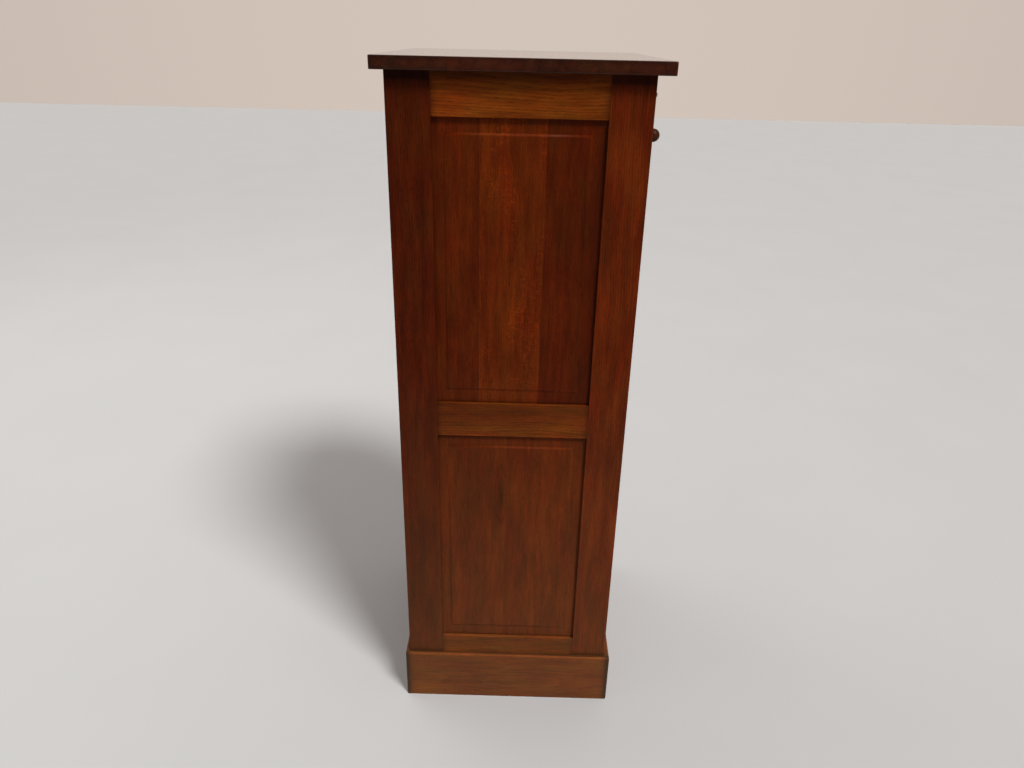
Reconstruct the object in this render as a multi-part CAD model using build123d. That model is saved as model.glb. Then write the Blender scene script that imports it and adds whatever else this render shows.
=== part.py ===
from build123d import *
import os

# Tambour filing cabinet in oak. Millimetres. Z is up and the front faces -Y.
# The origin is on the floor, midway between the two sides and between the key's bow and the top's rear edge.

# Carcass
body_width = 440.0
body_depth = 390.0
frame_thickness = 22.0
front_stile_width = 65.0
rear_stile_width = 66.0
stile_arris_radius = 1.5
top_rail_height = 62.0
upper_panel_height = 462.5
middle_rail_height = 62.5
lower_panel_height = 453.5
bottom_rail_height = 151.5

# Top board
top_thickness = 19.0
top_front_overhang = 24.0
top_rear_overhang = 18.0
top_side_overhang = 18.0
top_corner_radius = 3.0
top_edge_radius = 1.5

# Plinth
plinth_height = 110.0
plinth_thickness = 8.0
plinth_front_thickness = 10.5
plinth_edge_radius = 5.0
plinth_corner_radius = 4.0
corner_block_height = 30.0
corner_block_width = 28.0

# Mortise and tenon joints
tenon_thickness = 8.0
tenon_length = 30.0
tenon_shoulder = 8.0
mortise_end_gap = 0.8

# Fielded side panels
panel_thickness = 6.0
panel_setback = 5.8
panel_tongue = 7.0
panel_groove_depth = 8.0
panel_groove_play = 0.2
panel_border = 22.0
panel_rear_border = 17.0
panel_low_border = 24.0
panel_field_rise = 2.5
panel_bevel_angle = 50.0

# Back frame
back_thickness = 17.0
back_tongue = 8.0
back_groove_depth = 8.6
back_bottom_rail_low = 20.0

# Front frame
front_rail_thickness = 20.0
front_tenon_length = 9.0
sill_thickness = 12.0
sill_low = 20.0

# Track of the tambour
track_width = 9.0
track_depth = 9.2
track_setback = 13.5
track_rear_setback = 20.5
track_floor_height = 60.0
track_bend_radius = 50.0

# Tambour
slat_thickness = 8.0
slat_edge_thickness = 4.5
slat_pitch = 24.0
slat_gap = 0.6
slat_end_play = 1.2
curtain_tail_drop = 34.0
canvas_width = 340.0
canvas_thickness = 0.8
canvas_lap = 18.0
lead_rail_height = 53.0
lead_rail_thickness = 20.0
lead_rail_side_play = 1.0
lead_rail_top_gap = 0.5
lead_rail_arris_radius = 2.0

# Knobs
knob_radius = 10.0
knob_side_distance = 70.0
knob_projection = 23.6
knob_neck_radius = 5.0
knob_foot_radius = 7.0
knob_foot_length = 3.0

# Inside
base_board_thickness = 16.0
base_cleat_size = 16.0
base_cleat_rear_gap = 6.0
curtain_room = 5.0
false_back_thickness = 6.0
false_back_setback = 35.0
false_back_groove_depth = 5.0
false_back_play = 0.2
false_back_top_gap = 44.0
shelf_count = 6
shelf_thickness = 12.0
shelf_side_play = 2.0
shelf_end_play = 0.5
shelf_front_setback = 35.0
cleat_width = 14.0
cleat_height = 12.0
cleat_screw_inset = 16.0
glue_block_size = 20.0
glue_block_length = 60.0
glue_blocks_per_side = 3

# Wood screws
screw_head_radius = 3.4
screw_shank_radius = 1.7
screw_head_depth = 2.2
screw_slot_width = 0.8
screw_slot_depth = 0.7
cleat_screw_length = 20.0
knob_screw_length = 28.0
small_screw_length = 10.0

# Lock in the front top rail
key_height_above_rail_edge = 22.0
lock_left_reach = 41.5
lock_right_reach = 15.5
lock_height = 36.0
lock_depth = 12.0
lock_wall = 1.5
lock_plate_thickness = 1.5
lock_plate_ear = 12.0
lock_plate_rise = 4.0
lock_screw_inset = 6.0
hook_pivot_left_of_key = 30.0
hook_pivot_rise = 8.5
hook_outer_radius = 20.0
hook_inner_radius = 15.0
hook_thickness = 4.0
hook_hub_radius = 5.0
hook_arm_degrees = 12.0
hook_arc_degrees = 80.0
hook_rest_tip_degrees = -14.0
hook_end_play = 0.3
pivot_pin_radius = 2.0
pin_running_fit = 0.05
hook_slot_margin = 1.0
hook_slot_left_of_reach = 10.0

# Strike plate in the lead rail
strike_length = 60.0
strike_width = 12.0
strike_thickness = 1.5
strike_screw_inset = 6.0
strike_pocket_depth = 14.0
strike_pocket_left_play = 7.0

# Key and escutcheon
key_projection = 37.0
key_bow_radius = 11.0
key_bow_hole_radius = 6.5
key_bow_thickness = 3.0
key_shank_radius = 2.4
key_shank_fit = 0.1
key_collar_radius = 3.4
key_collar_length = 3.0
key_collar_stand_off = 2.0
key_bit_reach = 8.0
key_bit_width = 6.0
key_bit_thickness = 2.0
key_bit_slot_play = 0.3
key_rest_turn = 65.0
key_end_gap = 2.5
drill_pin_radius = 0.8
drill_pin_length = 6.0
escutcheon_width = 20.0
escutcheon_height = 34.0
escutcheon_thickness = 1.2
escutcheon_pin_radius = 0.9
escutcheon_pin_head_radius = 1.6
escutcheon_pin_head = 0.8
escutcheon_pin_length = 6.0
escutcheon_pin_inset = 3.6

# One overrun serves all cuts
overrun = 5.0

# Places that follow from the sizes
outer_x = body_width / 2
inner_x = outer_x - frame_thickness
overall_depth = key_projection + body_depth + top_rear_overhang
front_y = key_projection - overall_depth / 2
rear_y = front_y + body_depth
front_stile_inner_y = front_y + front_stile_width
rear_stile_inner_y = rear_y - rear_stile_width
bottom_rail_high = bottom_rail_height
middle_rail_low = bottom_rail_high + lower_panel_height
middle_rail_high = middle_rail_low + middle_rail_height
top_rail_low = middle_rail_high + upper_panel_height
body_height = top_rail_low + top_rail_height
frame_middle_x = outer_x - frame_thickness / 2
panel_middle_x = outer_x - panel_setback - panel_thickness / 2
rail_levels = {
    "top_rail": (top_rail_low, body_height),
    "middle_rail": (middle_rail_low, middle_rail_high),
    "bottom_rail": (0, bottom_rail_high),
}
panel_levels = {
    "upper_panel": (middle_rail_high, top_rail_low),
    "lower_panel": (bottom_rail_high, middle_rail_low),
}
back_y = rear_y - back_thickness
back_groove_y = back_y + (back_thickness - panel_thickness) / 2
track_front_y = front_y + track_setback
track_middle_y = track_front_y + track_width / 2
track_rear_y = rear_y - track_rear_setback
curtain_face_y = track_middle_y - slat_thickness / 2
curtain_back_y = track_middle_y + slat_thickness / 2
slat_end_x = inner_x + track_depth - slat_end_play
lead_rail_high = top_rail_low - lead_rail_top_gap
lead_rail_low = lead_rail_high - lead_rail_height
lead_rail_face_y = curtain_back_y - lead_rail_thickness
lead_rail_middle_y = (lead_rail_face_y + curtain_back_y) / 2
lead_rail_middle_z = (lead_rail_low + lead_rail_high) / 2
slat_count = int((lead_rail_low - bottom_rail_high + curtain_tail_drop) / slat_pitch)
curtain_low = lead_rail_low - slat_count * slat_pitch
false_back_y = rear_y - false_back_setback - false_back_thickness
false_back_high = body_height - false_back_top_gap
base_board_low = bottom_rail_high - base_board_thickness
inside_front_y = curtain_back_y + curtain_room
shelf_front_y = front_y + shelf_front_setback
shelf_rear_y = false_back_y - shelf_end_play
shelf_pitch = (top_rail_low - bottom_rail_high) / (shelf_count + 1)
cleat_inner_x = inner_x - cleat_width
front_rail_back_y = front_y + front_rail_thickness
key_z = top_rail_low + key_height_above_rail_edge
lock_back_y = front_rail_back_y - lock_plate_thickness
lock_front_y = lock_back_y - lock_depth
lock_high = top_rail_low + lock_height
lock_x_span = (-lock_left_reach, lock_right_reach)
hook_x = -hook_pivot_left_of_key
hook_z = top_rail_low + hook_pivot_rise
hook_slot_x = (hook_x + hook_slot_left_of_reach, hook_x + hook_outer_radius - hook_slot_margin / 2)
hook_slot_y = (
    lead_rail_middle_y - hook_thickness / 2 - hook_slot_margin,
    lead_rail_middle_y + hook_thickness / 2 + hook_slot_margin,
)


def board(x_span, y_span, z_span):
    """A square-edged board between its low and high planes."""
    spans = (x_span, y_span, z_span)
    centre = [(low + high) / 2 for low, high in spans]
    size = [high - low for low, high in spans]
    return Pos(*centre) * Box(*size)


def rod(x, z, radius, y_span):
    """A round bar along Y."""
    length = y_span[1] - y_span[0]
    return Pos(x, sum(y_span) / 2, z) * Rot(90, 0, 0) * Cylinder(radius, length)


def screw_blank(length):
    """A countersunk screw without its slot. The head's face is at the origin and it points to -Z."""
    head = Pos(0, 0, -screw_head_depth / 2) * Cone(screw_shank_radius, screw_head_radius, screw_head_depth)
    shank = Pos(0, 0, -length / 2) * Cylinder(screw_shank_radius, length)
    return head + shank


def slotted_screw(length):
    """The same screw with its driver slot."""
    slot_length = 2 * screw_head_radius + screw_slot_width
    slot = Pos(0, 0, -screw_slot_depth / 2) * Box(slot_length, screw_slot_width, screw_slot_depth)
    return screw_blank(length) - slot


def group(solids):
    """Separate solids that share one node."""
    return Compound([solid for item in solids for solid in item.solids()])


def right_of(part):
    """The mirror image on the other side."""
    return mirror(part, about=Plane.YZ)


def tenon_spans(rail_span):
    """The height of a rail's tenon."""
    return (rail_span[0] + tenon_shoulder, rail_span[1] - tenon_shoulder)


def side_tenon(rail_span, y_span):
    half = tenon_thickness / 2
    return board((-frame_middle_x - half, -frame_middle_x + half), y_span, tenon_spans(rail_span))


def side_rail(rail_span):
    """A rail of the left side frame with a tenon at each end."""
    rail = board((-outer_x, -inner_x), (front_stile_inner_y, rear_stile_inner_y), rail_span)
    front_tenon = side_tenon(rail_span, (front_stile_inner_y - tenon_length, front_stile_inner_y))
    rear_tenon = side_tenon(rail_span, (rear_stile_inner_y, rear_stile_inner_y + tenon_length))
    return rail + front_tenon + rear_tenon


def side_mortises():
    """What is cut from the left stiles for the rails' tenons."""
    reach = tenon_length + mortise_end_gap
    mortises = []
    for rail_span in rail_levels.values():
        mortises.append(side_tenon(rail_span, (front_stile_inner_y - reach, front_stile_inner_y)))
        mortises.append(side_tenon(rail_span, (rear_stile_inner_y, rear_stile_inner_y + reach)))
    return mortises


def side_panel_grooves():
    """The room for the edges of the two left panels."""
    half = (panel_thickness + panel_groove_play) / 2
    y_span = (front_stile_inner_y - panel_groove_depth, rear_stile_inner_y + panel_groove_depth)
    grooves = []
    for low, high in panel_levels.values():
        z_span = (low - panel_groove_depth, high + panel_groove_depth)
        grooves.append(board((-panel_middle_x - half, -panel_middle_x + half), y_span, z_span))
    return grooves


def side_track():
    """The groove for the tambour: down the front, round under the base and up behind the false back."""
    def channel(half_width):
        y_span = (track_middle_y - half_width, track_rear_y + half_width)
        z_span = (track_floor_height - half_width, top_rail_low)
        block = board((-inner_x - track_depth, -inner_x), y_span, z_span)
        bends = block.edges().filter_by(Axis.X).group_by(Axis.Z)[0]
        return fillet(bends, track_bend_radius + half_width)
    return channel(track_width / 2) - channel(-track_width / 2)


def back_panel_groove():
    """The groove that the back frame and its panels sit in, in the left rear stile."""
    y_span = (back_groove_y, back_groove_y + panel_thickness)
    return board((-inner_x - back_groove_depth, -inner_x), y_span, (back_bottom_rail_low, body_height))


def false_back_groove():
    y_span = (false_back_y - false_back_play / 2, false_back_y + false_back_thickness + false_back_play / 2)
    z_span = (base_board_low - base_cleat_size, false_back_high)
    return board((-inner_x - false_back_groove_depth, -inner_x), y_span, z_span)


def front_rail_tenon(side, length):
    """The tenon of the front top rail at one end."""
    y_middle = front_y + front_rail_thickness / 2
    ends = sorted((side * inner_x, side * (inner_x + length)))
    y_span = (y_middle - tenon_thickness / 2, y_middle + tenon_thickness / 2)
    return board(ends, y_span, (top_rail_low + tenon_shoulder, body_height - tenon_shoulder))


def sill_tenon(side, length):
    """The stub tenon of the front sill at one end."""
    y_middle = front_y + sill_thickness / 2
    ends = sorted((side * inner_x, side * (inner_x + length)))
    y_span = (y_middle - sill_thickness / 4, y_middle + sill_thickness / 4)
    return board(ends, y_span, (sill_low + tenon_shoulder, bottom_rail_high - tenon_shoulder))


def stile(y_span, outer_y):
    """A stile of the left side frame with its outer corner eased."""
    post = board((-outer_x, -inner_x), y_span, (0, body_height))
    corner = [
        edge
        for edge in post.edges().filter_by(Axis.Z)
        if abs(edge.center().Y - outer_y) < stile_arris_radius and edge.center().X < -frame_middle_x
    ]
    return fillet(corner, stile_arris_radius)


def left_front_stile():
    post = stile((front_y, front_stile_inner_y), front_y)
    cuts = side_mortises() + side_panel_grooves() + [side_track()]
    cuts.append(front_rail_tenon(-1, front_tenon_length + mortise_end_gap))
    cuts.append(sill_tenon(-1, front_tenon_length + mortise_end_gap))
    return post - cuts - cleat_screw_places(screw_blank)


def left_rear_stile():
    post = stile((rear_stile_inner_y, rear_y), rear_y)
    cuts = side_mortises() + side_panel_grooves() + [side_track(), back_panel_groove(), false_back_groove()]
    return post - cuts - cleat_screw_places(screw_blank)


def side_panel(span):
    """A fielded panel of the left side, with its field raised on the outside."""
    y_span = (front_stile_inner_y - panel_tongue, rear_stile_inner_y + panel_tongue)
    x_outer = panel_setback - outer_x
    x_span = (x_outer, x_outer + panel_thickness)
    flat = board(x_span, y_span, (span[0] - panel_tongue, span[1] + panel_tongue))
    field_front = front_stile_inner_y + panel_border
    field_rear = rear_stile_inner_y - panel_rear_border
    field_low = span[0] + panel_low_border
    field_high = span[1] - panel_border
    field_plane = Plane(
        origin=(x_outer, (field_front + field_rear) / 2, (field_low + field_high) / 2),
        x_dir=(0, 1, 0),
        z_dir=(-1, 0, 0),
    )
    field_outline = field_plane * Rectangle(field_rear - field_front, field_high - field_low)
    field = extrude(field_outline, panel_field_rise, taper=panel_bevel_angle)
    return flat + field


def back_rail(span):
    """A rail of the back frame with a tongue at each end."""
    rail = board((-inner_x, inner_x), (back_y, rear_y), span)
    tongue_end = inner_x + back_tongue
    tongue = board((-tongue_end, tongue_end), (back_groove_y, back_groove_y + panel_thickness), span)
    grooves = []
    for low, high in panel_levels.values():
        z_span = (low - panel_groove_depth, high + panel_groove_depth)
        y_span = (back_groove_y, back_groove_y + panel_thickness)
        grooves.append(board((-tongue_end - overrun, tongue_end + overrun), y_span, z_span))
    return rail + tongue - grooves


def back_panel(span):
    edge = inner_x + panel_tongue
    z_span = (span[0] - panel_tongue, span[1] + panel_tongue)
    return board((-edge, edge), (back_groove_y, back_groove_y + panel_thickness), z_span)


def top_board():
    x_reach = outer_x + top_side_overhang
    y_span = (front_y - top_front_overhang, rear_y + top_rear_overhang)
    slab = board((-x_reach, x_reach), y_span, (body_height, body_height + top_thickness))
    slab = fillet(slab.edges().filter_by(Axis.Z), top_corner_radius)
    rims = slab.faces().sort_by(Axis.Z)[-1].edges() + slab.faces().sort_by(Axis.Z)[0].edges()
    return fillet(rims, top_edge_radius)


def front_top_rail():
    rail = board((-inner_x, inner_x), (front_y, front_rail_back_y), (top_rail_low, body_height))
    for side in (-1, 1):
        rail += front_rail_tenon(side, front_tenon_length)
    lock_room = board(lock_x_span, (lock_front_y, lock_back_y), (top_rail_low, lock_high))
    wood_hole = keyhole(key_shank_radius + key_shank_fit + key_bit_slot_play, (front_y, lock_front_y))
    pins = escutcheon_pin_places()
    return rail - [lock_room, lock_plate_blank(), wood_hole] - lock_screw_places(screw_blank) - pins


def front_sill():
    sill = board((-inner_x, inner_x), (front_y, front_y + sill_thickness), (sill_low, bottom_rail_high))
    for side in (-1, 1):
        sill += sill_tenon(side, front_tenon_length)
    return sill


def plinth_boards():
    """Four mitred boards round the foot, their top edge and corners rounded."""
    mitre_x = outer_x + plinth_thickness
    mitre_front_y = front_y - plinth_front_thickness
    mitre_rear_y = rear_y + plinth_thickness
    ring = board((-mitre_x, mitre_x), (mitre_front_y, mitre_rear_y), (0, plinth_height))
    ring = fillet(ring.edges().filter_by(Axis.Z), plinth_corner_radius)
    ring = fillet(ring.faces().sort_by(Axis.Z)[-1].edges(), plinth_edge_radius)
    outside = [
        (-mitre_x, mitre_front_y),
        (mitre_x, mitre_front_y),
        (mitre_x, mitre_rear_y),
        (-mitre_x, mitre_rear_y),
    ]
    inside = [(-outer_x, front_y), (outer_x, front_y), (outer_x, rear_y), (-outer_x, rear_y)]
    boards = {}
    for step, name in enumerate(("plinth_front", "plinth_right", "plinth_back", "plinth_left")):
        corner = (step + 1) % len(outside)
        plan = make_face(Polyline(outside[step], outside[corner], inside[corner], inside[step], close=True))
        boards[name] = extrude(plan, plinth_height, dir=(0, 0, 1)) & ring
    return boards


def corner_blocks():
    """Triangular blocks glued in the four bottom corners, below the run of the tambour under the base."""
    front_corner_y = front_y + sill_thickness
    blocks = []
    for x_side in (-1, 1):
        for corner_y, y_step in ((front_corner_y, 1), (back_y, -1)):
            corner = (x_side * inner_x, corner_y)
            along_x = (x_side * (inner_x - corner_block_width), corner_y)
            along_y = (x_side * inner_x, corner_y + y_step * corner_block_width)
            plan = make_face(Polyline(corner, along_x, along_y, close=True))
            block = extrude(plan, corner_block_height, dir=(0, 0, 1))
            blocks.append(Pos(0, 0, sill_low if y_step > 0 else back_bottom_rail_low) * block)
    return group(blocks)


def top_glue_blocks():
    """Triangular blocks glued between the side rails and the top board."""
    first = front_stile_inner_y + glue_block_length / 2
    last = rear_stile_inner_y - glue_block_length / 2
    blocks = []
    for place in range(glue_blocks_per_side):
        middle = first + (last - first) * place / (glue_blocks_per_side - 1)
        corner = (-inner_x, middle - glue_block_length / 2, body_height)
        section = make_face(Polyline((0, 0), (glue_block_size, 0), (0, glue_block_size), close=True))
        block = extrude(Plane(origin=corner, z_dir=(0, 1, 0), x_dir=(1, 0, 0)) * section, glue_block_length)
        blocks += [block, right_of(block)]
    return group(blocks)


def base_board():
    return board((-inner_x, inner_x), (inside_front_y, false_back_y), (base_board_low, bottom_rail_high))


def base_cleats():
    y_span = (inside_front_y, false_back_y - base_cleat_rear_gap)
    z_span = (base_board_low - base_cleat_size, base_board_low)
    cleat = board((-inner_x, -inner_x + base_cleat_size), y_span, z_span)
    return group([cleat, right_of(cleat)])


def false_back():
    edge = inner_x + false_back_groove_depth - false_back_play
    z_span = (base_board_low - base_cleat_size, false_back_high)
    return board((-edge, edge), (false_back_y, false_back_y + false_back_thickness), z_span)


def shelf_levels():
    """The height of each shelf's underside."""
    return [bottom_rail_high + shelf_pitch * (step + 1) - shelf_thickness for step in range(shelf_count)]


def shelf(level):
    edge = inner_x - shelf_side_play
    return board((-edge, edge), (shelf_front_y, shelf_rear_y), (level, level + shelf_thickness))


def cleat_screw_places(make):
    """The left cleats' screws, made by the function given."""
    spots = (shelf_front_y + cleat_screw_inset, shelf_rear_y - cleat_screw_inset / 2)
    screws = []
    for level in shelf_levels():
        for y in spots:
            seat = Plane(origin=(-cleat_inner_x, y, level - cleat_height / 2), z_dir=(1, 0, 0))
            screws.append(seat.location * make(cleat_screw_length))
    return screws


def left_shelf_cleats():
    cleats = []
    for level in shelf_levels():
        z_span = (level - cleat_height, level)
        cleats.append(board((-inner_x, -cleat_inner_x), (shelf_front_y, shelf_rear_y), z_span))
    holes = cleat_screw_places(screw_blank)
    return group([cleat - holes for cleat in cleats])


def slat_section():
    """A slat is flat at the back and rounded in front."""
    half = (slat_pitch - slat_gap) / 2
    back_left = (-half, 0)
    back_right = (half, 0)
    edge = (half, slat_edge_thickness)
    crown = (0, slat_thickness)
    front = ThreePointArc(edge, crown, (-half, slat_edge_thickness))
    outline = [Line(back_left, back_right), Line(back_right, edge), front, Line(front @ 1, back_left)]
    return make_face(outline)


def tambour_slats():
    """Oak slats from the lead rail down to the tail behind the sill."""
    slats = []
    for step in range(slat_count):
        middle = lead_rail_low - slat_pitch * (step + 1 / 2)
        plane = Plane(origin=(-slat_end_x, curtain_back_y, middle), x_dir=(0, 0, 1), z_dir=(1, 0, 0))
        slats.append(extrude(plane * slat_section(), 2 * slat_end_x))
    return group(slats)


def tambour_canvas():
    """The canvas glued behind the slats and the foot of the lead rail."""
    half = canvas_width / 2
    y_span = (curtain_back_y, curtain_back_y + canvas_thickness)
    return board((-half, half), y_span, (curtain_low + slat_gap, lead_rail_low + canvas_lap))


def lead_rail():
    face_edge = inner_x - lead_rail_side_play
    z_span = (lead_rail_low, lead_rail_high)
    face = board((-face_edge, face_edge), (lead_rail_face_y, curtain_back_y), z_span)
    arris = face.faces().sort_by(Axis.Y)[0].edges().filter_by(Axis.X)
    face = fillet(arris, lead_rail_arris_radius)
    tongue = board((-slat_end_x, slat_end_x), (curtain_face_y, curtain_back_y), z_span)
    pocket = board(
        (hook_x - strike_pocket_left_play, hook_slot_x[1] + hook_slot_margin),
        hook_slot_y,
        (lead_rail_high - strike_pocket_depth, lead_rail_high),
    )
    holes = knob_screw_places(screw_blank) + strike_screw_places(screw_blank)
    return face + tongue - [pocket, strike_blank()] - holes


def knob_x(side):
    return side * (outer_x - knob_side_distance)


def knob(side):
    """A turned knob on the front of the lead rail."""
    x = knob_x(side)
    ball_y = lead_rail_face_y - knob_projection + knob_radius
    ball = Pos(x, ball_y, lead_rail_middle_z) * Sphere(knob_radius)
    neck = rod(x, lead_rail_middle_z, knob_neck_radius, (ball_y, lead_rail_face_y))
    foot_middle = lead_rail_face_y - knob_foot_length / 2
    foot = Cone(knob_neck_radius, knob_foot_radius, knob_foot_length)
    foot = Pos(x, foot_middle, lead_rail_middle_z) * Rot(-90, 0, 0) * foot
    return ball + neck + foot - knob_screw_places(screw_blank)


def knob_screw_places(make):
    """One screw goes through the lead rail from behind into each knob."""
    screws = []
    for side in (-1, 1):
        seat = Plane(origin=(knob_x(side), curtain_back_y, lead_rail_middle_z), z_dir=(0, 1, 0))
        screws.append(seat.location * make(knob_screw_length))
    return screws


def strike_blank():
    x_span = (hook_x - strike_length / 2, hook_x + strike_length / 2)
    y_span = (lead_rail_middle_y - strike_width / 2, lead_rail_middle_y + strike_width / 2)
    return board(x_span, y_span, (lead_rail_high - strike_thickness, lead_rail_high))


def strike_plate():
    slot = board(hook_slot_x, hook_slot_y, (lead_rail_high - strike_thickness, lead_rail_high))
    return strike_blank() - slot - strike_screw_places(screw_blank)


def strike_screw_places(make):
    screws = []
    for side in (-1, 1):
        x = hook_x + side * (strike_length / 2 - strike_screw_inset)
        screws.append(Pos(x, lead_rail_middle_y, lead_rail_high) * make(small_screw_length))
    return screws


def keyhole(radius, y_span):
    """A round hole with a slot below it for the bit."""
    slot_half = key_bit_thickness / 2 + key_bit_slot_play
    slot = board((-slot_half, slot_half), y_span, (key_z - key_bit_reach - key_bit_slot_play, key_z))
    return rod(0, key_z, radius, y_span) + slot


def lock_case():
    """An open-backed case let into the rail from behind."""
    shell = board(lock_x_span, (lock_front_y, lock_back_y), (top_rail_low, lock_high))
    hollow = board(
        (lock_x_span[0] + lock_wall, lock_x_span[1] - lock_wall),
        (lock_front_y + lock_wall, lock_back_y),
        (top_rail_low + lock_wall, lock_high - lock_wall),
    )
    hook_slot = board(hook_slot_x, hook_slot_y, (top_rail_low, top_rail_low + lock_wall))
    key_way = keyhole(key_shank_radius + key_shank_fit, (lock_front_y, lock_front_y + lock_wall))
    pin_hole = rod(hook_x, hook_z, pivot_pin_radius, (lock_front_y, lock_front_y + lock_wall))
    return shell - [hollow, hook_slot, key_way, pin_hole]


def lock_plate_blank():
    x_span = (-lock_left_reach - lock_plate_ear, lock_right_reach + lock_plate_ear)
    z_span = (top_rail_low, lock_high + lock_plate_rise)
    return board(x_span, (lock_back_y, front_rail_back_y), z_span)


def lock_plate():
    """The plate that closes the case and carries it in the rail."""
    pin_hole = rod(hook_x, hook_z, pivot_pin_radius, (lock_back_y, front_rail_back_y))
    drill_pin_hole = rod(0, key_z, drill_pin_radius, (lock_back_y, front_rail_back_y))
    return lock_plate_blank() - [pin_hole, drill_pin_hole] - lock_screw_places(screw_blank)


def lock_screw_places(make):
    screws = []
    for x in (-lock_left_reach - lock_screw_inset, lock_right_reach + lock_screw_inset):
        for z in (top_rail_low + lock_screw_inset, lock_high - lock_screw_inset):
            seat = Plane(origin=(x, front_rail_back_y, z), z_dir=(0, 1, 0))
            screws.append(seat.location * make(small_screw_length))
    return screws


def hook_pivot_pin():
    return rod(hook_x, hook_z, pivot_pin_radius, (lock_front_y, front_rail_back_y))


def drill_pin():
    """The fixed pin that the hollow key turns on."""
    inner_end = lock_back_y - key_end_gap - drill_pin_length
    return rod(0, key_z, drill_pin_radius, (inner_end, front_rail_back_y))


def ring_sector(radii, first_degrees, turn_degrees, y_span):
    """Part of a flat ring across Y, about the hook's pivot."""
    inner, outer = [CenterArc((0, 0), radius, first_degrees, turn_degrees) for radius in radii]
    face = make_face([outer, Line(outer @ 1, inner @ 1), inner, Line(inner @ 0, outer @ 0)])
    plane = Plane(origin=(hook_x, y_span[1], hook_z), x_dir=(1, 0, 0), z_dir=(0, -1, 0))
    return extrude(plane * face, y_span[1] - y_span[0])


def hook_bolt():
    """A hook that swings out of the case, through the strike plate's slot and under it."""
    y_span = (lead_rail_middle_y - hook_thickness / 2, lead_rail_middle_y + hook_thickness / 2)
    finger_radii = (hook_inner_radius, hook_outer_radius)
    finger = ring_sector(finger_radii, hook_rest_tip_degrees, hook_arc_degrees, y_span)
    arm_start = hook_rest_tip_degrees + hook_arc_degrees - hook_arm_degrees
    arm_radii = (hook_hub_radius - pivot_pin_radius / 2, sum(finger_radii) / 2)
    arm = ring_sector(arm_radii, arm_start, hook_arm_degrees, y_span)
    hub_span = (lock_front_y + lock_wall + hook_end_play, lock_back_y - hook_end_play)
    hub = rod(hook_x, hook_z, hook_hub_radius, hub_span)
    bore = rod(hook_x, hook_z, pivot_pin_radius + pin_running_fit, hub_span)
    return hub + arm + finger - bore


def key():
    """A hollow key with a ring bow. It is drawn upright, then turned to its rest."""
    end_y = lock_back_y - key_end_gap
    bow_y = front_y - key_projection + key_bow_radius
    collar_y = front_y - escutcheon_thickness - key_collar_stand_off
    shank_end_y = bow_y + (key_bow_radius + key_bow_hole_radius) / 2
    shank = rod(0, 0, key_shank_radius, (shank_end_y, end_y))
    collar = rod(0, 0, key_collar_radius, (collar_y - key_collar_length, collar_y))
    ring = Cylinder(key_bow_radius, key_bow_thickness) - Cylinder(key_bow_hole_radius, key_bow_thickness)
    bow = Pos(0, bow_y, 0) * Rot(0, 90, 0) * ring
    half = key_bit_thickness / 2
    bit = board((-half, half), (end_y - key_bit_width, end_y), (-key_bit_reach, 0))
    bore = rod(0, 0, drill_pin_radius + pin_running_fit, (end_y - drill_pin_length - key_end_gap, end_y))
    whole = shank + collar + bow + bit - bore
    return Pos(0, 0, key_z) * Rot(0, key_rest_turn, 0) * whole


def escutcheon():
    """A brass plate with rounded ends round the keyhole."""
    middle_z = key_z - key_bit_reach / 2
    y_span = (front_y - escutcheon_thickness, front_y)
    half_width = escutcheon_width / 2
    straight = escutcheon_height / 2 - half_width
    plate = board((-half_width, half_width), y_span, (middle_z - straight, middle_z + straight))
    for end in (-1, 1):
        plate += rod(0, middle_z + end * straight, half_width, y_span)
    hole = keyhole(key_shank_radius + key_shank_fit, y_span)
    return plate - hole - escutcheon_pin_places()


def escutcheon_pin_places():
    """Two round-headed pins that hold the escutcheon."""
    middle_z = key_z - key_bit_reach / 2
    face_y = front_y - escutcheon_thickness
    pins = []
    for end in (-1, 1):
        z = middle_z + end * (escutcheon_height / 2 - escutcheon_pin_inset)
        stem = rod(0, z, escutcheon_pin_radius, (face_y, face_y + escutcheon_pin_length))
        head = rod(0, z, escutcheon_pin_head_radius, (face_y - escutcheon_pin_head, face_y))
        pins.append(stem + head)
    return pins


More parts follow.
